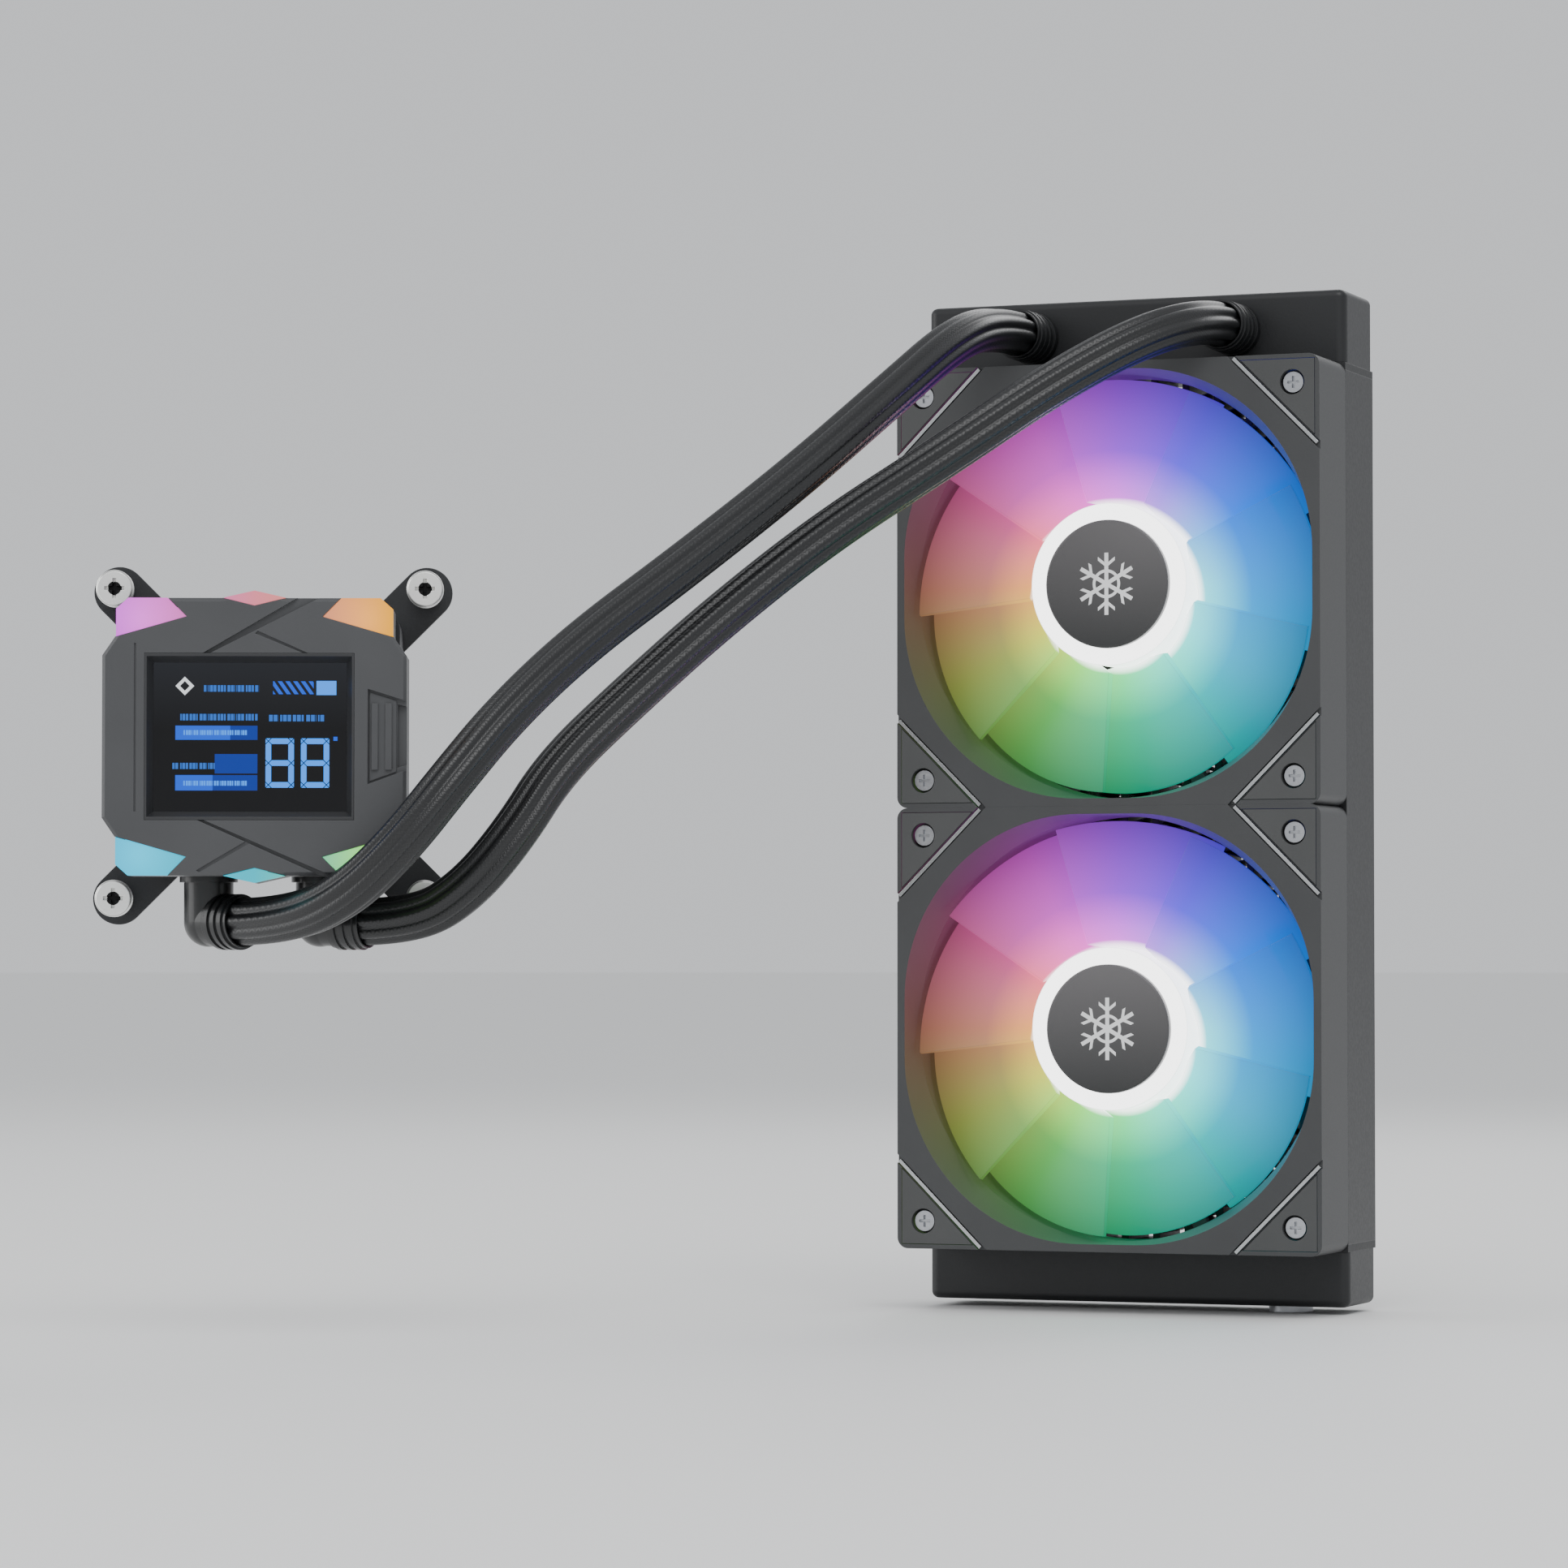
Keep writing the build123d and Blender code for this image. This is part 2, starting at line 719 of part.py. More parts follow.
# A square seal lies in a groove in the housing's foot, round the lower pocket.
seal_outer = (40.0, 53.0)
seal_inner = (seal_outer[0] - 2 * seal_section, seal_outer[1] - 2 * seal_section)
seal_depth = 1.0
with BuildPart() as cold_plate_seal:
    with BuildSketch(pump.offset(plate_top)):
        Rectangle(*seal_outer)
        Rectangle(*seal_inner, mode=Mode.SUBTRACT)
    extrude(amount=seal_depth)
save(cold_plate_seal.part, "cold_plate_seal")

# ---------------------------------------------------------------- pump: housing and motor
foot_top = plate_top + foot_height
passage_radius = 3.5
passage_place = (elbow_right[0], -21.0)
passage_length = body_size / 2 + passage_place[1] + 2.0
left_port = Plane(
    origin=pump.from_local_coords((elbow_left[0], -body_size / 2, port_level)),
    x_dir=pump_across,
    z_dir=(0, 0, 1),
)
right_port = Plane(
    origin=pump.from_local_coords((elbow_right[0], -body_size / 2, port_level)),
    x_dir=pump_across,
    z_dir=(0, 0, 1),
)

with BuildPart() as pump_housing:
    with BuildSketch(pump.offset(plate_top)):
        RectangleRounded(foot_size, foot_size, plate_round)
    extrude(amount=foot_height)
    with BuildSketch(pump.offset(foot_top)):
        RectangleRounded(body_size, body_size, body_round)
    extrude(amount=body_top - foot_top)
    with BuildSketch(pump.offset(plate_top)):
        Rectangle(*lower_pocket)
    extrude(amount=lower_pocket_height, mode=Mode.SUBTRACT)
    with BuildSketch(pump.offset(plate_top)):
        Rectangle(*seal_outer)
        Rectangle(*seal_inner, mode=Mode.SUBTRACT)
    extrude(amount=seal_depth, mode=Mode.SUBTRACT)
    with BuildSketch(pump.offset(plate_top)):
        Circle(eye_radius)
    extrude(amount=body_top - plate_top, mode=Mode.SUBTRACT)
    with BuildSketch(pump.offset(chamber_floor)):
        Circle(chamber_radius)
    extrude(amount=body_top - chamber_floor, mode=Mode.SUBTRACT)
    with BuildSketch(left_port):
        Circle(port_radius)
    extrude(amount=chamber_radius, mode=Mode.SUBTRACT)
    with BuildSketch(right_port):
        Circle(port_radius)
    extrude(amount=passage_length, mode=Mode.SUBTRACT)
    with BuildSketch(pump.offset(plate_top)):
        with Locations(passage_place):
            Circle(passage_radius)
    extrude(amount=port_level - plate_top, mode=Mode.SUBTRACT)
    with BuildSketch(pump.offset(plate_top)):
        with GridLocations(*plate_screw_pattern):
            Circle(plate_screw_radius + panel_gap)
    extrude(amount=foot_height, mode=Mode.SUBTRACT)
save(pump_housing.part, "pump_housing")

# The can closes the wet side; the motor's coils sit dry around it.
with BuildPart() as motor_can:
    with BuildSketch(pump.offset(body_top)):
        Circle(can_flange)
    extrude(amount=can_flange_height)
    with BuildSketch(pump.offset(body_top)):
        Circle(can_radius)
    extrude(amount=can_top - body_top)
    with BuildSketch(pump.offset(body_top)):
        Circle(can_radius - can_wall)
    extrude(amount=can_top - can_wall - body_top, mode=Mode.SUBTRACT)
save(motor_can.part, "motor_can")

coil_start = body_top + can_flange_height
with BuildPart() as motor_stator:
    tooth_count = 6
    tooth_width = 5.0
    yoke = 2.0
    with BuildSketch(pump.offset(coil_start)):
        Circle(coil_radius)
        Circle(coil_radius - yoke, mode=Mode.SUBTRACT)
        with PolarLocations((coil_radius + can_radius) / 2, tooth_count):
            Rectangle(coil_radius - can_radius, tooth_width)
        Circle(can_radius + panel_gap, mode=Mode.SUBTRACT)
    extrude(amount=coil_height)
save(motor_stator.part, "motor_stator")

# The impeller's vanes, disc and magnet turn as one piece on a fixed pin. The vanes face the
# eye in the chamber's floor, and throw the coolant out to the left port.
disc_start = impeller_floor + vane_height
vane_reach = (4.5, 15.5)
vane_lean = -28
with BuildPart() as impeller:
    with BuildSketch(pump.offset(impeller_floor)):
        with PolarLocations((vane_reach[0] + vane_reach[1]) / 2, vane_count):
            Rectangle(vane_reach[1] - vane_reach[0], vane_thickness, rotation=vane_lean)
    extrude(amount=vane_height)
    with BuildSketch(pump.offset(disc_start)):
        Circle(impeller_radius)
    extrude(amount=impeller_disc)
    with BuildSketch(pump.offset(disc_start + impeller_disc)):
        Circle(rotor_radius)
    extrude(amount=rotor_top - disc_start - impeller_disc)
    with BuildSketch(pump.offset(disc_start)):
        Circle(pin_radius + running_gap)
    extrude(amount=rotor_top - disc_start, mode=Mode.SUBTRACT)
save(impeller.part, "impeller")

with BuildPart() as impeller_pin:
    with BuildSketch(pump.offset(impeller_floor)):
        Circle(pin_radius)
    extrude(amount=can_top - can_wall - impeller_floor)
save(impeller_pin.part, "impeller_pin")

# ---------------------------------------------------------------- pump: cover and display
side_reach = 37.4
shoulder = 34.0
cover_outline = []
for across, up in ((-1, 1), (1, 1), (1, -1), (-1, -1)):
    corner = [
        (side_reach * across, 20 * up),
        (shoulder * across, 25 * up),
        (shoulder * across, 31.5 * up),
        (31 * across, 34.2 * up),
        (8 * across, 34.2 * up),
    ]
    crown = [(0, 36 * up)] if across * up < 0 else []
    cover_outline += (corner if across * up < 0 else corner[::-1]) + crown
window_corner = [(16.7, 29.6), (24, 37), (38, 37), (38, 23.9), (33.4, 24.8)]
window_crown = [(-7.7, 34.2), (-7.7, 38), (7.7, 38), (7.7, 34.2), (0, 32.3)]
half_height = opening[1] / 2
window_cuts = [
    [(x * across, y * up) for x, y in window_corner] for across in (-1, 1) for up in (-1, 1)
]
window_cuts += [[(x, y * up) for x, y in window_crown] for up in (-1, 1)]

# The crossing bands are parted by grooves: (outline, depth)
grooves = [
    ([(-12.6, half_height), (-10.8, half_height), (20.5, 36.5), (14.5, 36.5)], 1.2),
    ([(0.2, 25.4), (0.8, 26.1), (13.1, half_height), (11.9, half_height)], 0.6),
    ([(-13.9, -half_height), (-12.3, -half_height), (24.2, -36.5), (21.4, -36.5)], 1.0),
    ([(-1.2, -25.3), (-0.6, -26.0), (-13.4, -33.4), (-14.2, -33.0)], 0.5),
    ([(-29.5, 23), (-29.0, 23), (-29.0, -18.5), (-29.5, -18.5)], 0.4),
    ([(27.9, 11.8), (38, 8.6), (38, -8.0), (27.9, -11.7)], 1.4),
    ([(35.2, 8.0), (38, 7.4), (38, -6.8), (35.2, -7.6)], 3.0),
]
pump_axis = Axis(pump_origin, tuple(pump_out))
cover = Plane(
    origin=pump.from_local_coords((*cover_shift, 0)), x_dir=pump_across, z_dir=pump_out
)

with BuildPart() as pump_cover:
    with BuildSketch(cover.offset(cover_bottom)):
        Polygon(*cover_outline, align=None)
    extrude(amount=cover_front - cover_bottom)
    chamfer(pump_cover.faces().sort_by(pump_axis)[-1].edges(), cover_chamfer)
    with BuildSketch(cover.offset(cover_bottom)):
        Polygon(*cover_outline, align=None)
        offset(amount=-cover_wall, kind=Kind.INTERSECTION)
    extrude(amount=cover_front - cover_face - cover_bottom, mode=Mode.SUBTRACT)
    with BuildSketch(cover.offset(cover_front - cover_face)):
        with Locations((display_centre, 0)):
            Rectangle(*opening)
        for cut in window_cuts:
            Polygon(*cut, align=None)
    extrude(amount=cover_face, mode=Mode.SUBTRACT)
    for outline, depth in grooves:
        with BuildSketch(cover.offset(cover_front - depth)):
            Polygon(*outline, align=None)
        extrude(amount=depth, mode=Mode.SUBTRACT)
save(pump_cover.part, "pump_cover")

# One opal moulding: a thin sheet behind the cover's face with six windows standing up from it.
diffuser_thickness = 1.5
diffuser_opening = (opening[0] + 1, opening[1] + 1)
diffuser_start = cover_front - cover_face - diffuser_thickness
with BuildPart() as light_windows:
    with BuildSketch(cover.offset(diffuser_start)):
        Polygon(*cover_outline, align=None)
        offset(amount=-cover_wall - panel_gap, kind=Kind.INTERSECTION)
        with Locations((display_centre, 0)):
            Rectangle(*diffuser_opening, mode=Mode.SUBTRACT)
    extrude(amount=diffuser_thickness)
    with BuildSketch(cover.offset(cover_front - cover_face)):
        for cut in window_cuts:
            Polygon(*cut, align=None)
        offset(amount=-window_gap, kind=Kind.INTERSECTION)
        Polygon(*cover_outline, align=None, mode=Mode.INTERSECT)
    extrude(amount=window_rise)
save(light_windows.part, "light_windows")

with BuildPart() as display_bezel:
    with BuildSketch(cover.offset(bezel_back)):
        with Locations((display_centre, 0)):
            Rectangle(opening[0] - panel_gap, opening[1] - panel_gap)
    extrude(amount=cover_front - bezel_back)
    with BuildSketch(cover.offset(bezel_back)):
        with Locations((display_centre, 0)):
            Rectangle(*bezel_inner)
    extrude(amount=cover_front - bezel_back, taper=-bezel_slope, mode=Mode.SUBTRACT)
save(display_bezel.part, "display_bezel")

with BuildPart() as display_glass:
    with BuildSketch(cover.offset(bezel_back - glass_thickness)):
        with Locations((display_centre, 0)):
            Rectangle(*glass_size)
    extrude(amount=glass_thickness)
save(display_glass.part, "display_glass")

# A ribbed catch in the recess at the cover's right side.
clip_floor = cover_front - 1.4
clip_thickness = 0.5
clip_outline = [(28.3, 11.0), (34.9, 8.9), (34.9, -8.6), (28.3, -11.0)]
clip_rib = (1.6, 16.4)
clip_rib_height = 0.6
with BuildPart() as side_clip:
    with BuildSketch(cover.offset(clip_floor)):
        Polygon(*clip_outline, align=None)
    extrude(amount=clip_thickness)
    with BuildSketch(cover.offset(clip_floor + clip_thickness)):
        with Locations((29.6, 0), (33.0, 0)):
            Rectangle(*clip_rib)
    extrude(amount=clip_rib_height)
save(side_clip.part, "side_clip")

# The board behind the windows: lights round its edge and the display driver in the middle.
board_corner = 3.0
corner_lamp = (5.0, 5.0)
corner_lamp_spread = (52.0, 50.0)
middle_lamp = (5.0, 3.0)
middle_lamp_spread = 56.0
driver_size = 14.0
with BuildPart() as light_board:
    with BuildSketch(cover.offset(board_level)):
        RectangleRounded(board_size, board_size, board_corner)
    extrude(amount=board_thickness)
    with BuildSketch(cover.offset(board_level + board_thickness)):
        with GridLocations(*corner_lamp_spread, 2, 2):
            Rectangle(*corner_lamp)
        with GridLocations(0, middle_lamp_spread, 1, 2):
            Rectangle(*middle_lamp)
        Rectangle(driver_size, driver_size)
    extrude(amount=led_size)
save(light_board.part, "light_board")

# ---------------------------------------------------------------- pump: mounting
arm_start = 38.0
hole_distance = mount_pitch / math.sqrt(2)
with BuildPart() as mounting_bracket:
    with BuildSketch(pump.offset(bracket_bottom)):
        RectangleRounded(bracket_ring, bracket_ring, bracket_corner)
        with PolarLocations((arm_start + hole_distance) / 2, 4, start_angle=45):
            Rectangle(hole_distance - arm_start, arm_width)
        with PolarLocations(hole_distance, 4, start_angle=45):
            Circle(arm_width / 2)
        RectangleRounded(bracket_opening, bracket_opening, plate_round, mode=Mode.SUBTRACT)
        with PolarLocations(hole_distance, 4, start_angle=45):
            Circle(arm_hole, mode=Mode.SUBTRACT)
    extrude(amount=bracket_thickness)
save(mounting_bracket.part, "mounting_bracket")

bracket_top = bracket_bottom + bracket_thickness
clip_top = bracket_bottom - mount_travel - stop_gap


def mounting_screw(spot, label):
    """A captive screw: wide cross head, shank, and a clip ring that stops it under the bracket."""
    cross = (5.0, 1.0)
    with BuildPart() as screw:
        with BuildSketch(pump.offset(-mount_head_height)):
            with Locations(spot):
                Circle(mount_head_radius)
        extrude(amount=mount_head_height)
        chamfer(screw.faces().sort_by(pump_axis)[-1].edges(), mount_chamfer)
        with BuildSketch(pump.offset(mount_tip)):
            with Locations(spot):
                Circle(mount_shank)
        extrude(amount=-mount_head_height - mount_tip)
        with BuildSketch(pump.offset(clip_top - clip_ring_height)):
            with Locations(spot):
                Circle(clip_ring)
        extrude(amount=clip_ring_height)
        with BuildSketch(pump.offset(-mount_head_height / 2)):
            with Locations(spot):
                Rectangle(*cross)
                Rectangle(cross[1], cross[0])
        extrude(amount=mount_head_height / 2, mode=Mode.SUBTRACT)
    save(screw.part, label)


def screw_spring(spot, label):
    """The coil spring between the bracket's arm and the screw's head."""
    coil_height = -mount_head_height - bracket_top - 2 * spring_wire
    start = pump.from_local_coords((spot[0], spot[1], bracket_top + spring_wire))
    with BuildPart() as spring:
        with BuildLine() as coil:
            Helix(
                pitch=coil_height / spring_turns,
                height=coil_height,
                radius=spring_radius,
                center=start,
                direction=pump_out,
            )
        with BuildSketch(Plane(origin=coil.line @ 0, z_dir=coil.line % 0)):
            Circle(spring_wire)
        sweep(path=coil.line, is_frenet=True)
    save(spring.part, label)


mount_spots = [
    (-mount_pitch / 2, mount_pitch / 2),
    (mount_pitch / 2, mount_pitch / 2),
    (-mount_pitch / 2, -mount_pitch / 2),
    (mount_pitch / 2, -mount_pitch / 2),
]
for number, spot in enumerate(mount_spots, start=1):
    mounting_screw(spot, f"mounting_screw_{number}")
    screw_spring(spot, f"screw_spring_{number}")

# ---------------------------------------------------------------- pump elbows


def elbow_exit(across, swing):
    """The elbow's middle, and the direction in which its hose leaves."""
    middle = pump.from_local_coords((across, elbow_level, port_level))
    swing_angle = math.radians(swing)
    heading = pump_across * math.cos(swing_angle) + pump_out * math.sin(swing_angle)
    return middle, heading


def pump_elbow(across, swing, label):
    """An elbow that hangs from the housing's port and turns the hose to the side."""
    middle, heading = elbow_exit(across, swing)
    upright = Plane(origin=middle, x_dir=pump_across, z_dir=(0, 0, 1))
    outward = Plane(origin=middle, x_dir=(0, 0, 1), z_dir=heading)
    leg_height = -body_size / 2 - elbow_level
    spigot_length = 6.0
    collar = ribbed_collar(outward, elbow_leg - collar_length / 2, collar_length)
    with BuildPart() as elbow:
        with BuildSketch(upright):
            Circle(elbow_radius)
        extrude(amount=leg_height)
        with BuildSketch(upright.offset(leg_height)):
            Circle(elbow_flange)
        extrude(amount=-elbow_flange_height)
        with BuildSketch(upright.offset(leg_height)):
            Circle(spigot_radius)
        extrude(amount=spigot_length)
        with Locations(Location(middle)):
            Sphere(elbow_radius)
        with BuildSketch(outward):
            Circle(hose_radius)
        extrude(amount=elbow_leg)
        with BuildSketch(upright):
            Circle(elbow_bore)
        extrude(amount=leg_height + spigot_length, mode=Mode.SUBTRACT)
        with Locations(Location(middle)):
            Sphere(elbow_bore, mode=Mode.SUBTRACT)
        with BuildSketch(outward):
            Circle(elbow_bore)
        extrude(amount=elbow_leg, mode=Mode.SUBTRACT)
        add(collar)
    save(elbow.part, label)


pump_elbow(*elbow_left, "pump_elbow_left")
pump_elbow(*elbow_right, "pump_elbow_right")

# ---------------------------------------------------------------- hoses


def hose_lead(across, swing, reach):
    """The hose's first two points: the elbow's face, and a corner straight out from it."""
    middle, heading = elbow_exit(across, swing)
    return [middle + heading * elbow_leg, middle + heading * reach]


def hose(route, label):
    """A sleeved tube along straight runs joined by tangent arcs, as large as the runs allow."""
    points = [Vector(point) for point in route]
    runs = [b - a for a, b in zip(points, points[1:])]
    turns = [math.radians(a.get_angle(b)) for a, b in zip(runs, runs[1:])]
    shorter = [min(a.length, b.length) for a, b in zip(runs, runs[1:])]
    radii = [arc_share * run / math.tan(turn / 2) for run, turn in zip(shorter, turns)]
    with BuildPart() as tube:
        with BuildLine() as centre_line:
            FilletPolyline(*points, radius=radii)
        with BuildSketch(Plane(origin=points[0], z_dir=runs[0])):
            Circle(hose_radius)
            Circle(hose_bore, mode=Mode.SUBTRACT)
        sweep(path=centre_line.wire())
    section = math.pi * (hose_radius**2 - hose_bore**2)
    length = centre_line.wire().length
    print(label, "length", round(length, 1), "radii", [round(radius) for radius in radii])
    print(label, "volume over section x length", round(tube.part.volume / (section * length), 4))
    save(tube.part, label)


# From the pump to the radiator. The first point of each is the elbow's face.
left_route = [
    *hose_lead(*elbow_left, left_lead),
    (-131.5, -245, -26),
    (-117, -244, -13),
    (-107, -236, 3),
    (-99, -221, 20),
    (-89, -199, 38),
    (-74, -171, 58),
    (-56, -138, 83),
    (-41, -108, 107),
    (-32, -84, 124),
    (-29, -60, 130),
    (-fitting_offset, -rad_depth - fitting_neck, fitting_level),
]
right_route = [
    *hose_lead(*elbow_right, right_lead),
    (-112, -216, -24),
    (-102, -210, -10),
    (-95, -200, 7),
    (-83, -182, 25),
    (-68, -160, 46),
    (-49, -134, 69),
    (-27, -107, 90),
    (-3, -86, 111),
    (18, -71, 125),
    (29, -53, 130),
    (fitting_offset, -rad_depth - fitting_neck, fitting_level),
]
hose(left_route, "hose_left")
hose(right_route, "hose_right")
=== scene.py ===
# %% [markdown]
# # A closed-loop liquid cooler
# The object is a flat radiator that stands on end with two lit fans on its front, two
# sleeved hoses, and a pump head with a small display. The metal and plastic pieces come
# ready made as a fixed frame, in metres, with +Z up and the fans facing -Y. This lesson
# adds the camera and the light, the hoses, the springs, and a finish for every piece.

# %% Load the frame
import json
import math

import bmesh
import bpy
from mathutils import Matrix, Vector


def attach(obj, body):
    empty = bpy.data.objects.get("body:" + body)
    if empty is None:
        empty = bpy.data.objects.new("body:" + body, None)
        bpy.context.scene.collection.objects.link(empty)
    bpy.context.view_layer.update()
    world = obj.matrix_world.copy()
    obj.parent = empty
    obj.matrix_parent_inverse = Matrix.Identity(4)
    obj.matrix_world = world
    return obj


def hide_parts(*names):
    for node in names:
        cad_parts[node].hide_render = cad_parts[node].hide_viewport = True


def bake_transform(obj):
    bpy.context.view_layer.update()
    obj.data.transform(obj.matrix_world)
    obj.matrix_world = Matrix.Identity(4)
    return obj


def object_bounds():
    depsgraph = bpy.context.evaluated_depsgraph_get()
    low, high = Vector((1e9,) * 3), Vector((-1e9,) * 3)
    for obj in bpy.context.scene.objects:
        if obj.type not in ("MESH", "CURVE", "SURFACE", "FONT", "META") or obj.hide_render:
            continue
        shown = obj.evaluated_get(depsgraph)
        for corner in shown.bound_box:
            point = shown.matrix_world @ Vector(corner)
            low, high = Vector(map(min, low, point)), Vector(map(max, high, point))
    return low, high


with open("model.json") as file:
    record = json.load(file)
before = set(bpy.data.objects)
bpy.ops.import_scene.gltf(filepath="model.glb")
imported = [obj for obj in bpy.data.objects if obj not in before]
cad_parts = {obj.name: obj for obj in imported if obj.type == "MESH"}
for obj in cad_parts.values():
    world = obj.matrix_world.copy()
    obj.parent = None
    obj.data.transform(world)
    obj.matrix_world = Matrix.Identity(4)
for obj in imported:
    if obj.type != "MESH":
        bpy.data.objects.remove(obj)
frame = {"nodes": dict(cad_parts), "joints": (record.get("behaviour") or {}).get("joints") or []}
frame_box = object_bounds()
nodes = frame["nodes"]
joints = {joint["name"]: joint for joint in frame["joints"]}
mm = 0.001

# %% [markdown]
# Some places are used again and again: each fan's axis, and the pump head's own plane. They
# could be typed in, but the joints already hold them, so they are read from there. The pump
# plane has one direction across the display, one up, and one out of it. The four mounting
# screws stand in a square round the pump's axis.

# %% Planes
fan_centres = {name: Vector(joints[f"fan_{name}_spin"]["pos_m"]) for name in ("upper", "lower")}
pump_origin = Vector(joints["impeller_spin"]["pos_m"])
pump_out = Vector(joints["impeller_spin"]["axis"]).normalized()
pump_across = Vector((-pump_out.y, pump_out.x, 0))
pump_up = Vector((0, 0, 1))


def on_pump(across, up, out):
    """A point given in millimetres on the pump head's plane."""
    return pump_origin + (pump_across * across + pump_up * up + pump_out * out) * mm


display_middle = on_pump(-2.0, 0.5, 0)
screw_offset = 39.0
print("display middle", [round(v, 4) for v in display_middle])

# %% [markdown]
# ## Camera
# The cooler is seen from the right of its fans and a little below its middle, from about a
# metre and a half. A long lens keeps that viewpoint and still fills the picture, which is
# what a photographer would do instead of walking closer and changing the perspective.

# %% Camera
camera_data = bpy.data.cameras.new("camera")
camera_data.lens = 124
camera_data.sensor_width = 36
camera_data.clip_start = 0.05
camera_data.clip_end = 100
camera = bpy.data.objects.new("camera", camera_data)
bpy.context.scene.collection.objects.link(camera)
camera.location = (0.4634, -1.4328, -0.0415)
aim = Vector((-0.0700, -0.1100, 0.0050))
camera.rotation_mode = "QUATERNION"
camera.rotation_quaternion = (aim - camera.location).to_track_quat("-Z", "Y")
bpy.context.scene.camera = camera
print("camera stands", round((aim - camera.location).length, 3), "m away")

# %% [markdown]
# ## Shader sums
# A finish is easier to read as arithmetic than as a list of links. `Value` wraps one output
# of a node and overloads the operators, so `1 - mask * 0.5` adds the Math nodes by itself.
# Vectors and colours have three numbers, so theirs are Vector Math nodes. `Finish` holds one
# material, and its `add` method makes any other node.


# %% Value and Finish
def maths(operation, *parts):
    """Works out one operation on values and numbers with a Math or a Vector Math node."""
    values = [part for part in parts if isinstance(part, Value)]
    kind = "Math"
    if any(value.socket.type in ("VECTOR", "RGBA") for value in values):
        kind = "VectorMath"
        parts = [p if isinstance(p, (Value, tuple)) else (p, p, p) for p in parts]
    made = values[0].finish.add(kind, {"operation": operation}, dict(enumerate(parts)))
    return made.out("Value" if operation in ("DOT_PRODUCT", "LENGTH") else 0)


class Value:
    """One output of a shader node, for use in sums."""

    def __init__(self, finish, socket):
        self.finish = finish
        self.socket = socket

    def __add__(self, other):
        return maths("ADD", self, other)

    def __radd__(self, other):
        return maths("ADD", other, self)

    def __sub__(self, other):
        return maths("SUBTRACT", self, other)

    def __rsub__(self, other):
        return maths("SUBTRACT", other, self)

    def __mul__(self, other):
        return maths("MULTIPLY", self, other)

    def __truediv__(self, other):
        return maths("DIVIDE", self, other)

    def __pow__(self, other):
        return maths("POWER", self, other)

    def __gt__(self, other):
        return maths("GREATER_THAN", self, other)

    def __lt__(self, other):
        return maths("LESS_THAN", self, other)

    def __abs__(self):
        return maths("ABSOLUTE", self)

    def dot(self, other):
        """How far this vector reaches along another."""
        return maths("DOT_PRODUCT", self, other if isinstance(other, Value) else tuple(other))

    def length(self):
        """The length of this vector."""
        return maths("LENGTH", self)

    def rising(self, low, high):
        """0 below low, 1 above high, and an even slope between them."""
        inputs = {"Value": self, "From Min": low, "From Max": high}
        return self.finish.add("MapRange", {"clamp": True}, inputs).out(0)

    def between(self, low, high):
        """1 inside a band, 0 outside it."""
        return (self > low) * (self < high)


class Node:
    """A node that was just made, so that its outputs can be picked by name or number."""

    def __init__(self, finish, node):
        self.finish = finish
        self.node = node

    def out(self, which):
        return Value(self.finish, self.node.outputs[which])


